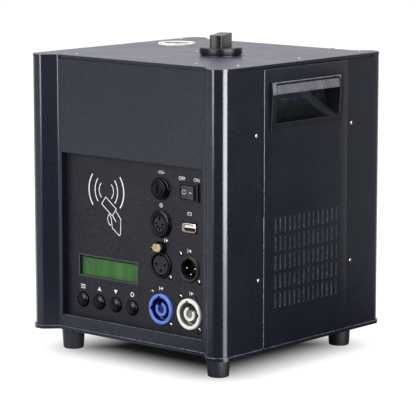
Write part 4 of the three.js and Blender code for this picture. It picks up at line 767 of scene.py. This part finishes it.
# Control panel: the plate with its cut-outs, and the walls and worn sill of the recess
def control_panel():
    holes = [
        centred(*DISPLAY_SIZE, DISPLAY),
        circle(13.1, (COL_IN, ROW_POWER)), circle(13.1, (COL_OUT, ROW_POWER)),
        circle(11.45, (COL_IN, ROW_SIGNAL)), circle(11.05, (COL_OUT, ROW_SIGNAL)),
        circle(8.3, (COL_IN, ROW_DATA)),
        soften(centred(16.8, 8.8, (COL_OUT, ROW_DATA)), 0.4),
        circle(7.9, (COL_IN, ROW_MAINS)),
        centred(19.0, 13.0, (COL_OUT, ROW_MAINS)),
        centred(11.1, 7.6, (COL_IN, LATCH_Z)),
        *[circle(6.75, (x, BUTTON_Z)) for x in BUTTON_X],
    ]
    window = rect(-WINDOW_W / 2, WINDOW_W / 2, WINDOW_LOW, WINDOW_HIGH)
    tray = offset(window, SHEET)
    piece("control_plate", slab("y", tray, PANEL_Y, PANEL_BACK, holes), panel_paint, edge=0.18,
          cad=["control_panel"])
    piece("control_recess_walls", slab("y", tray, FACE_Y + SHEET, PANEL_Y, [window]), powder)
    sill = rect(-WINDOW_W / 2 + 2, WINDOW_W / 2 - 2, WINDOW_LOW - 0.1, WINDOW_LOW + 0.25)
    piece("control_recess_sill", slab("y", sill, FACE_Y + 0.3, FACE_Y + SHEET), wear_and_highlight_paint)


control_panel()


# Buttons: glossy domes with a turned edge
def button(key, x):
    radius, crown = 6.25, 3.2
    turns = [pi / 2 * i / 12 for i in range(12)]
    dome = [(radius * cos(t), -0.4 - crown * sin(t)) for t in turns]
    profile = [(0, 6.0), (2, 6.0), (2, 2.8), (7.2, 2.8), (7.2, 1.8), (radius, 1.8), *dome, (0, -0.4 - crown)]
    piece(key + "_button_cap", lathe("y", profile, (x, PANEL_Y, BUTTON_Z)), gloss_black, key + "_key",
          cad=[key + "_button"])


for button_key, button_x in zip(("menu", "up", "down", "enter"), BUTTON_X):
    button(button_key, button_x)


# Power sockets: a rim with keyways, a well with a C-shaped key, and the well and the key's stem in a darker
# copy of the rim's plastic as painted shade
def power_socket(node, rim_look, shaded_well_look, x, key_angle, half, angles):
    centre = (x, PANEL_Y, ROW_POWER)
    shift = keyways(angles, 8, 1.3, 10.5)
    front = bend([(12.8, 1.4), (12.8, -2), (9.8, -2), (9.8, -0.9)], [0, 0.9, 0.5, 0], 5)
    rim = lathe("y", [*front, (12.0, 1.4), (12.8, 1.4)], centre, 120, shift)
    piece(node + "_rim", rim, rim_look, cad=[node])
    well = [(0, 12), (11.2, 12), (11.2, 1.6), (9.81, -0.85), (9.6, 4), (8.9, 4.4), (8.9, 9.5), (0, 9.5)]
    core = rod(3.3, 0.7, 9.3, centre, 32)
    piece(node + "_well", combine(lathe("y", well, centre, 120, shift), core), shaded_well_look)
    start, end = key_angle + half, key_angle + 360 - half
    ring = [*arc(5.75, start, end, 48), *arc(3.5, end - 5, start + 5, 48)]
    piece(node + "_key", moved(slab("y", ring, -0.9, 0.5), centre), rim_look, edge=0.45, steps=3)
    piece(node + "_key_stem", moved(slab("y", ring, 0.51, 9.6), centre), shaded_well_look)


power_socket("power_in_socket", blue_plastic, blue_plastic_painted_shade, COL_IN, 111, 29, (98, 180))
power_socket("power_out_socket", white_plastic, white_plastic_painted_shade, COL_OUT, 67, 34, (100, 0))


# Signal sockets
def signal_out():
    centre = (COL_IN, PANEL_Y, ROW_SIGNAL)
    front = bend([(11.15, 1.5), (11.15, -1.6), (9.3, -1.6), (9.3, 4)], [0, 0.7, 0.4, 0], 4)
    ring = lathe("y", [*front, (10.8, 4), (11.15, 1.5)], centre, 80)
    piece("signal_out_ring", ring, socket_black, cad=["dmx_out_socket"])
    key_half, key_z = 0.9, 7.0
    outline = [p for p in circle(8.1, steps=80) if not (abs(p[0]) < key_half and p[1] > 0)]
    top = next(i for i, p in enumerate(outline) if p[0] < 0)
    outline[top:top] = [(key_half, key_z), (-key_half, key_z)]
    face = slab("y", outline, -0.9, 9, [circle(1.2, p, 24) for p in PINS])
    piece("signal_out_face", moved(face, centre), face_look, edge=0.3)
    piece("signal_out_body", rod(10.7, 4, 24, centre), cavity_black)


def signal_in():
    centre = (COL_OUT, PANEL_Y, ROW_SIGNAL)
    front = bend([(11.0, 1.5), (11.0, -0.5), (10.0, -1.6), (8.3, -1.6), (8.3, 11)], [0, 0.7, 0.7, 0.5, 0], 4)
    ring = lathe("y", [*front, (9.6, 11), (10.2, 1.5), (11.0, 1.5)], centre, 80, keyways((90,), 9, 0.9, 8.9))
    piece("signal_in_ring", ring, face_look, cad=["dmx_in_socket"])
    piece("signal_in_well", rod(9.5, 9.5, 24, centre), cavity_black)
    lining = lathe("y", [(8.31, 0.6), (8.31, 9.5), (8.0, 9.5), (8.0, 0.6), (8.31, 0.6)], centre, 80)
    piece("signal_in_lining", lining, cavity_black)
    tip = [(0, 1.0), *[(1.2 * sin(t), 2.2 - 1.2 * cos(t)) for t in (0.5, 1.0, 1.57)], (1.2, 9.6),
           (0, 9.6)]
    pins = [lathe("y", tip, (centre[0] + a, centre[1], centre[2] + b), 20) for a, b in PINS]
    piece("signal_in_pins", combine(*pins), gold, cad=["dmx_in_pins"])


def latch():
    place = (COL_IN, PANEL_Y, LATCH_Z)
    tab = slab("y", soften(centred(8.6, 6.4, (0, -0.3)), 3.0, 8), -6.2, -4.4)
    neck = slab("y", soften(centred(9, 5.4), 1.6, 4), -4.3, 10)
    ribs = [slab("y", soften(centred(5.6, 0.8, (0, z)), 0.35, 3), -6.5, -6.0) for z in (-1.5, 0, 1.5)]
    piece("latch_tab", moved(tab, place), latch_metal, "latch", edge=0.9, steps=4, cad=["dmx_out_latch"])
    # Painted shade: the neck behind the tab is black, for the shadowed hole beside it
    piece("latch_neck", moved(neck, place), cavity_black, "latch")
    piece("latch_ribs", moved(combine(*ribs), place), latch_metal, "latch", edge=0.15)


signal_out()
signal_in()
latch()


# Controller socket: a domed ring, a face with five slots and a key
def controller():
    centre = (COL_IN, PANEL_Y, ROW_DATA)
    front = bend([(11.6, 0), (11.5, -1.1), (9.8, -2.5), (7.0, -2.9), (7.0, 1.5)], [0, 0.6, 2.2, 0.3, 0], 8)
    ring = lathe("y", [(8.0, 3), (8.0, 0), *front, (7.0, 3), (8.0, 3)], centre, 80)
    piece("controller_ring", ring, gloss_black, cad=["controller_socket"])
    spot = soften(centred(3.4, 1.35), 0.6, 3)
    holes = [turned(spot, radians(angle), arc(3.75, angle, angle, 1)[0])
             for angle in (180, 225, 270, 315, 360)]
    holes.append(soften(centred(1.9, 3.0, (0, 4.5)), 0.5, 3))
    piece("controller_face", moved(slab("y", circle(6.35), -2.1, 1, holes), centre), face_look, edge=0.25)
    piece("controller_body", rod(7.9, 0.9, 16, centre), cavity_black)


controller()


# Data port: a plated shell with a rolled mouth, a tongue and its contacts
def data_port():
    place = (COL_OUT, PANEL_Y, ROW_DATA)
    rings = [(14.7, 7.2, 2.0, -0.9), (14.0, 6.5, 1.6, -1.0), (12.2, 5.1, 0.7, 0.5), (12.2, 5.1, 0.7, 12),
             (12.8, 5.7, 0.9, 12), (12.8, 5.7, 0.9, 0.9), (14.7, 7.2, 2.0, -0.4)]
    mouth = skin([[(a, along, b) for a, b in soften(centred(width, height), corner, 5)]
                  for width, height, corner, along in rings], closed=True)
    piece("data_port_shell", moved(mouth, place), chrome, smooth=50, cad=["usb_socket"])
    tongue = slab("y", centred(10.6, 2.0, (0.2, 1.0)), -0.2, 12)
    piece("data_port_tongue", moved(tongue, place), white_plastic, edge=0.25)
    contacts = [slab("y", centred(1.2, 0.3, (x, -0.1)), 0.6, 11) for x in (-3.6, -1.2, 1.2, 3.6)]
    piece("data_port_contacts", moved(combine(*contacts), place), gold)
    back = slab("y", soften(centred(12.4, 5.3), 0.8, 4), 11.5, 13.5)
    piece("data_port_back", moved(back, place), cavity_black)


data_port()


# Fuse holder, its slotted cap and the fuse in its carrier
def fuse():
    place = (COL_IN, PANEL_Y, ROW_MAINS)
    flange = bend([(9.5, 0), (9.5, -2), (6.1, -2), (6.1, 6)], [0, 0.8, 0.3, 0], 5)
    bore = [(2.9, 6.3), (2.9, 26.3), (0, 26.3), (0, 32), (7.6, 32), (7.6, 0), (9.5, 0)]
    piece("fuse_barrel", lathe("y", [*flange, *bore], place), gloss_black, cad=["fuse_holder"])
    cap = bend([(8.0, -2.3), (8.0, -4.0), (7.5, -4.6), (6.2, -4.6), (6.1, -4.1), (5.7, -4.1), (5.6, -4.9),
                (0, -4.9)], [0, 0.4, 0.3, 0.1, 0.1, 0.1, 0.3, 0], 3)
    made = piece("fuse_cap_knob", lathe("y", [(0, -2.3), *cap], place), socket_black, "fuse_knob",
                 cad=["fuse_cap"])
    cut_out(made, moved(slab("y", centred(1.7, 6.4), -9, -3.6), place))
    carrier = lathe("y", [(0, -2), (5.8, -2), (5.8, 6), (3.4, 6), (3.4, 8), (0, 8)], place)
    piece("fuse_carrier", carrier, moulded, "fuse", edge=0.2, cad=["fuse_link"])
    piece("fuse_glass", rod(2.2, 8, 21, place, 32), clear, "fuse")
    ends = combine(rod(2.6, 7.0, 11, place, 32), rod(2.6, 20.5, 26, place, 32))
    piece("fuse_ends", ends, chrome, "fuse", edge=0.15)
    wire = [(place[0], place[1] + y, place[2] + 0.3 * sin(y)) for y in range(10, 22)]
    piece("fuse_wire", tube(wire, 0.15, 6), steel, "fuse")


fuse()


# Mains switch: bezel, rocker with a shallow V front, and its two marks
def switch():
    place = (COL_OUT, PANEL_Y, ROW_MAINS)
    bezel = slab("y", soften(centred(21, 15), 0.6, 3), -2, 0, [centred(17, 12.2)])
    body = slab("y", centred(18.4, 12.6), -0.01, 20, [centred(17, 11.6)])
    piece("switch_bezel", moved(combine(bezel, body), place), switch_black, edge=0.4, steps=3,
          cad=["switch_housing"])
    piece("switch_back", moved(slab("y", centred(16.9, 10.9), 8.5, 10), place), cavity_black)
    end, front_y, end_y = 7.6, -3.2, -4.4
    section = [(-end, end_y), (0, front_y), (7.95, end_y), (8.3, 0), (4.7, 2.4), (-4.7, 2.4), (-end, 0)]
    rocker = slab("z", soften(section, [0.5, 8, 0.5, 0, 0, 0, 0], 5), -5.4, 5.4)
    ring = slab("y", circle(2.1, (-4.0, 0), 40), -0.06, 0.2, [circle(1.45, (-4.0, 0), 40)])
    bar = slab("y", soften(centred(4.4, 0.85, (3.7, 0)), 0.3, 3), -0.06, 0.2)

    def on_front(solid):
        """Lays a flat mark on the V of the rocker's front."""
        return [(x, y + front_y + (end_y - front_y) * abs(x) / end, z) for x, y, z in solid[0]], solid[1]

    pivot = (place[0], place[1] + 1.5, place[2])
    piece("rocker_body", moved(rocker, pivot, -8), rocker_look, "rocker", edge=0.35, steps=3,
          cad=["power_rocker"])
    piece("rocker_marks", moved(combine(on_front(ring), on_front(bar)), pivot, -8), rocker_ink, "rocker")


switch()


# Display: frame, green screen and clear pane
def display():
    opening = centred(*DISPLAY_SIZE, DISPLAY)
    outline = soften(centred(72.4, 23.3, DISPLAY), 1.2, 4)
    mask = slab("y", outline, PANEL_BACK + 1.1, PANEL_BACK + 1.4, [rect(-64.7, 0.9, 67.0, 82.1)])
    piece("display_mask", mask, cavity_black)
    block = slab("y", centred(80, 34, DISPLAY), PANEL_BACK + 1.5, PANEL_BACK + 7.4)
    piece("display_module", block, lcd_green, edge=0.3, cad=["lcd_module"])
    piece("display_window", slab("y", outline, PANEL_BACK, PANEL_BACK + 1.0), clear, edge=0.15,
          cad=["display_pane"])
    rim = slab("y", offset(opening, 0.7), PANEL_Y - 0.3, PANEL_Y + 0.4, [offset(opening, -0.15)])
    piece("display_rim", rim, frame_grey, edge=0.2)


display()


# Printed marks: thin raised ink on the control panel
INK = 0.05
MARK_HEIGHT = 4.0


def fill(outline, holes=()):
    return slab("y", outline, PANEL_Y - INK, PANEL_Y + INK, holes)


def stroke(points, width):
    """A flat line of one width along a path."""
    ahead, back = offset(points, width / 2, closed=False), offset(points, -width / 2, closed=False)
    return fill([*ahead, *back[::-1]])


def card_sign():
    """Waves on both sides, and below them a plain card and the outline of the hand that holds it."""
    middle = (-33.6, 141.5)
    strokes = []
    waves = ((8.2, 12.0, 8.2, 0.75), (12.9, 19.2, 15.4, 0.95), (19.9, 26.0, 21.4, 1.2))
    for reach, chord, radius, width in waves:
        half = degrees(asin(chord / 2 / radius))
        for turn, way in ((0, 1), (180, -1)):
            centre = (middle[0] + way * (reach - radius), middle[1])
            strokes.append(stroke(arc(radius, turn - half, turn + half, 24, centre), width))
    card = turned(centred(15.7, 8.5), radians(-36.2), (-30.7, 128.7))
    strokes.append(fill(card, [offset(card, -0.7)]))
    palm = [(-24.6, 124.2), (-23.0, 125.9), (-17.3, 119.3), (-17.7, 106.8), (-18.9, 105.1), (-27.0, 110.9),
            (-28.2, 118.8), (-30.4, 123.2)]
    fingers = [(-30.6, 122.4), (-32.4, 118.6), (-31.6, 115.6), (-29.8, 112.8), (-28.4, 113.6)]
    thumb = [(-29.0, 122.6), (-26.4, 121.2), (-22.8, 116.6)]
    for path, width in ((palm, 0.65), (fingers, 0.65), (thumb, 0.8)):
        strokes.append(stroke(bend(path, 0.7, 3), width))
    return strokes


def key_marks():
    """Signs over the buttons: a list, up, down and a ring."""
    z = BUTTON_Z + 11.2
    menu, up, down, enter = BUTTON_X
    marks = [stroke([(menu - 2.6, z + d), (menu + 2.6, z + d)], 0.6) for d in (-1.4, 0, 1.4)]
    marks.append(fill([(up - 2.1, z - 1.5), (up + 2.1, z - 1.5), (up, z + 1.9)]))
    marks.append(fill([(down - 2.1, z + 1.5), (down, z - 1.9), (down + 2.1, z + 1.5)]))
    marks.append(fill(circle(2.0, (enter, z), 32), [circle(1.3, (enter, z), 32)]))
    return marks


def arrow(x, z, inward):
    """A bar and a triangle that points to it or away from it."""
    way = -1 if inward else 1
    bar_x = x - 3.4 if inward else x - 1.4
    return [fill([(x, z + 1.4), (x, z - 1.4), (x + 2.6 * way, z)]),
            stroke([(bar_x, z - 1.6), (bar_x, z + 1.6)], 0.55)]


def socket_marks():
    marks = [*arrow(COL_IN + 1.5, ROW_POWER + 17.2, True), *arrow(COL_OUT + 1.5, ROW_POWER + 17.2, False),
             *arrow(COL_OUT + 1.5, ROW_SIGNAL + 15.2, True), *arrow(COL_IN + 5.2, ROW_SIGNAL + 21.0, False)]
    ring = (COL_IN, ROW_DATA + 15.2)
    marks.append(fill(circle(1.7, ring, 32), [circle(1.2, ring, 32)]))
    marks.append(fill(circle(0.45, ring, 16)))
    port = soften(centred(4.4, 2.4, (COL_OUT, ROW_DATA + 11.5)), 0.4, 3)
    marks.append(fill(port, [offset(port, -0.5)]))
    link_z = ROW_MAINS + 13.4
    link = soften(centred(5.0, 2.2, (COL_IN, link_z)), 0.3, 3)
    marks.append(fill(link, [offset(link, -0.45)]))
    marks.append(stroke([(COL_IN - 4.0, link_z), (COL_IN + 4.0, link_z)], 0.4))
    return marks


def lettering(name, text, x, z):
    font = bpy.data.curves.new(name, "FONT")
    font.body = text
    font.size = MARK_HEIGHT * MM
    font.extrude = 0.04 * MM
    font.offset = 0.07 * MM
    font.align_x = "CENTER"
    word = put(name, font)
    word.matrix_world = Matrix.Translation(Vector((x, PANEL_Y - 0.02, z)) * MM) @ FACING["front"]
    mesh = evaluated(word)
    mesh.transform(word.matrix_world)
    bpy.data.objects.remove(word)
    mesh.materials.clear()
    mesh.materials.append(ink)
    made = put(name, mesh)
    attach(made, "case")


piece("panel_marks", combine(*card_sign(), *key_marks(), *socket_marks()), ink)
lettering("mark_off", "OFF", COL_OUT - 8.2, ROW_MAINS + 9.2)
lettering("mark_on", "ON", COL_OUT + 7.6, ROW_MAINS + 9.2)


# Nozzle ring and filler
def nozzle():
    centre = (*NOZZLE, 0)
    outer = bend([(13.6, LID_Z), (16.3, LID_Z), (16.3, LID_Z + 1.5), (11.6, LID_Z + 1.5), (11.6, LID_UNDER)],
                 [0, 0, 0.7, 0.7, 0], 5)
    ring = lathe("z", [*outer, (13.6, LID_UNDER), (13.6, LID_Z)], centre, 80)
    piece("nozzle_rim", ring, ceramic, cad=["nozzle_ring"])
    lining = [(11.2, 230), (11.59, 230), (11.59, LID_Z + 0.9), (11.2, LID_Z + 0.7), (11.2, 230)]
    piece("nozzle_lining", lathe("z", lining, centre, 80), bore_tan)


def filler():
    centre = (*FILLER, 0)
    deep = LID_Z - 14
    neck = bend([(15.4, LID_Z), (17.0, LID_Z), (17.0, LID_Z + 1), (13, LID_Z + 1), (13, deep)],
                [0, 0, 0.3, 0.3, 0], 3)
    piece("filler_collar", lathe("z", [*neck, (15.4, deep), (15.4, LID_Z)], centre), moulded,
          cad=["filler_neck"])
    bottom, groove = LID_Z - 10, LID_Z - 5
    plug = bend([(12.7, LID_Z + 1), (12.7, groove + 1.2), (11.9, groove + 1.2), (11.9, groove - 1.2),
                 (12.7, groove - 1.2), (12.7, bottom)], [0, 0.2, 0.2, 0.2, 0.2, 0.8], 3)
    profile = [(0, LID_Z + 1), *plug[:-1], (12.7, bottom + 0.6), (12.1, bottom), (0, bottom)]
    piece("filler_stopper", lathe("z", profile, centre), rubber, "plug", cad=["filler_plug"])
    seat = LID_Z + 1.3
    disc = bend([(0, seat), (17.8, seat), (17.8, seat + 5.6), (0, seat + 5.6)], [0, 0.4, 1.1, 0], 5)
    outline = [*arc(16.5, -19.2, 19.2, 12), *arc(16.5, 160.8, 199.2, 12)]
    bar = slab("z", soften(outline, ([1.6] + [0] * 11 + [1.6]) * 2, 4), seat + 3, seat + 16.3)
    made = piece("filler_knob", combine(lathe("z", disc), bar), moulded, "cap", cad=["filler_cap"])
    made.data.transform(Matrix.Translation(Vector(centre) * MM) @ Matrix.Rotation(radians(115), 4, "Z"))
    round_edges(made, 1.5, 4)


nozzle()
filler()


# Camera at the photograph's angle, and lamps. Azimuth 0 is in front of the control side.
def aimed(name, data, azimuth, elevation, distance, target):
    """Puts a camera or a lamp at a distance from what it looks at. Its place is in metres."""
    a, e = radians(azimuth), radians(elevation)
    out = Vector((sin(a) * cos(e), -cos(a) * cos(e), sin(e)))
    made = put(name, data)
    made.location = Vector(target) + out * distance
    made.rotation_mode = "QUATERNION"
    made.rotation_quaternion = (-out).to_track_quat("-Z", "Y")
    return made


def area_light(name, azimuth, elevation, distance, size, power, target_z=0.13, only_gloss=False):
    lamp = bpy.data.lights.new(name, "AREA")
    lamp.shape = "RECTANGLE"
    lamp.size, lamp.size_y = size
    lamp.energy = power
    made = aimed(name, lamp, azimuth, elevation, distance, (0, 0, target_z))
    made.visible_diffuse = not only_gloss
    made.visible_camera = False


camera = aimed("camera", bpy.data.cameras.new("camera"), 41.09, 9.19, 1.995, (0.0015, 0, 0.12))
camera.data.lens = 202.6
camera.data.sensor_width = 36
bpy.context.scene.camera = camera

# Two soft lamps for the colours, and three that only gloss reflects, as upright and overhead softboxes
area_light("key_front", -24, 25, 1.8, (0.9, 0.9), 16)
area_light("top_soft", 20, 80, 1.6, (1.2, 1.2), 11)
area_light("strip_left", 0, 0, 0.75, (0.43, 0.6), 17, 0.42, only_gloss=True)
area_light("strip_right", 82, 0, 0.75, (0.66, 0.8), 45, 0.4, only_gloss=True)
area_light("strip_top", 20, 86, 1.15, (2.2, 2.2), 75, only_gloss=True)

# Brightness of the room for the colours, and of the floor round the machine, with its painted shadow and the
# painted reflections that gloss sees in it
ROOM_LIGHT = 0.47
WHITE, BLACK, FLOOR_GREY = (1, 1, 1, 1), (0, 0, 0, 1), (0.5, 0.5, 0.51, 1)
SHADOW_ROUND = 45
SHADOW_EDGE = (-0.056, 0.02)
CAMERA_SHADE = 0.9
LOW_END = (0.0, 0.35, 0.5, 1.0)
BRIGHT_WEDGE = (0.84, 0.97, 0.0, 11.0)
WEDGE_START = ((HALF_W - 2) * MM, (6 - HALF_D) * MM, 0.0)
DARK_WAY, DARK_STRETCH = (0.951, -0.309, 0.0), (0.13, 0.5, 1.0, 0.04)
BACK_WAY, BACK_STRETCH = (-0.755, 0.656, 0.0), (0.7, 0.95, 1.0, 0.3)


def room():
    """White to look at, through clear pieces and in gloss, and plain soft light for the colours."""
    world = bpy.data.worlds.new("room")
    bpy.context.scene.world = world
    world.use_nodes = True
    tree = world.node_tree
    rays = add(tree, "LightPath", {}).outputs
    seen = maths(tree, "MAXIMUM", rays["Is Camera Ray"], rays["Is Transmission Ray"])
    seen = maths(tree, "MAXIMUM", seen, rays["Is Glossy Ray"])
    unseen = maths(tree, "MULTIPLY", maths(tree, "SUBTRACT", 1.0, seen), ROOM_LIGHT)
    feed(tree.nodes["Background"], {"Color": WHITE, "Strength": maths(tree, "ADD", seen, unseen)})


def beside_case(tree, place):
    """How far a place on the floor is from the machine's rounded outline, in metres."""
    corner = Vector((HALF_W - SHADOW_ROUND, HALF_D - SHADOW_ROUND, 0)) * MM
    past = vectors(tree, "SUBTRACT", vectors(tree, "ABSOLUTE", place), corner)
    axes = axes_of(tree, past)
    inside = maths(tree, "MINIMUM", maths(tree, "MAXIMUM", axes["X"], axes["Y"]), 0.0)
    outside = vectors(tree, "LENGTH", vectors(tree, "MAXIMUM", past, (0, 0, 0)))
    return maths(tree, "SUBTRACT", maths(tree, "ADD", inside, outside), SHADOW_ROUND * MM)


def floor_light(tree, place, distance):
    """Painted reflection: what upright gloss sees of the floor, dark to the right and behind, with a bright
    wedge at a corner.
    """
    way = vectors(tree, "NORMALIZE", place)
    dark = maths(tree, "MULTIPLY",
                 ranged(tree, vectors(tree, "DOT_PRODUCT", way, DARK_WAY), *DARK_STRETCH),
                 ranged(tree, vectors(tree, "DOT_PRODUCT", way, BACK_WAY), *BACK_STRETCH))
    from_corner = vectors(tree, "NORMALIZE", vectors(tree, "SUBTRACT", place, WEDGE_START))
    wedge = ranged(tree, vectors(tree, "DOT_PRODUCT", from_corner, (1, 0, 0)), *BRIGHT_WEDGE)
    lit = maths(tree, "MULTIPLY", dark, ranged(tree, distance, *LOW_END))
    return dark, maths(tree, "ADD", lit, wedge)


def floor():
    """Pale, with a glow that starts at the machine's edge over a near black base seen by the camera, so that
    the dark under and round the machine is a painted shadow.
    """
    paint = bpy.data.materials.new("floor_paint")
    paint.use_nodes = True
    tree = paint.node_tree
    place = place_of(tree)
    distance = beside_case(tree, place)
    dark, gloss = floor_light(tree, place, distance)
    rays = add(tree, "LightPath", {}).outputs
    glossy, seen = rays["Is Glossy Ray"], rays["Is Camera Ray"]
    white = maths(tree, "MAXIMUM", seen, rays["Is Transmission Ray"])
    white = maths(tree, "MAXIMUM", white, maths(tree, "MULTIPLY", glossy, gloss))
    shade = maths(tree, "MULTIPLY", glossy, maths(tree, "SUBTRACT", 1.0, dark))
    shade = maths(tree, "MAXIMUM", shade, maths(tree, "MULTIPLY", seen, CAMERA_SHADE))
    feed(tree.nodes["Principled BSDF"], {
        "Roughness": 0.9, "Specular IOR Level": 0.1, "Emission Color": WHITE,
        "Emission Strength": maths(tree, "MULTIPLY", ranged(tree, distance, *SHADOW_EDGE), white),
        "Base Color": mixed(tree, shade, FLOOR_GREY, BLACK),
    })
    mesh = bpy.data.meshes.new("floor")
    mesh.from_pydata([(-9, -9, 0), (9, -9, 0), (9, 9, 0), (-9, 9, 0)], [], [(0, 1, 2, 3)])
    mesh.materials.append(paint)
    put("floor", mesh)


room()
floor()

bpy.context.scene.view_settings.view_transform = "Standard"
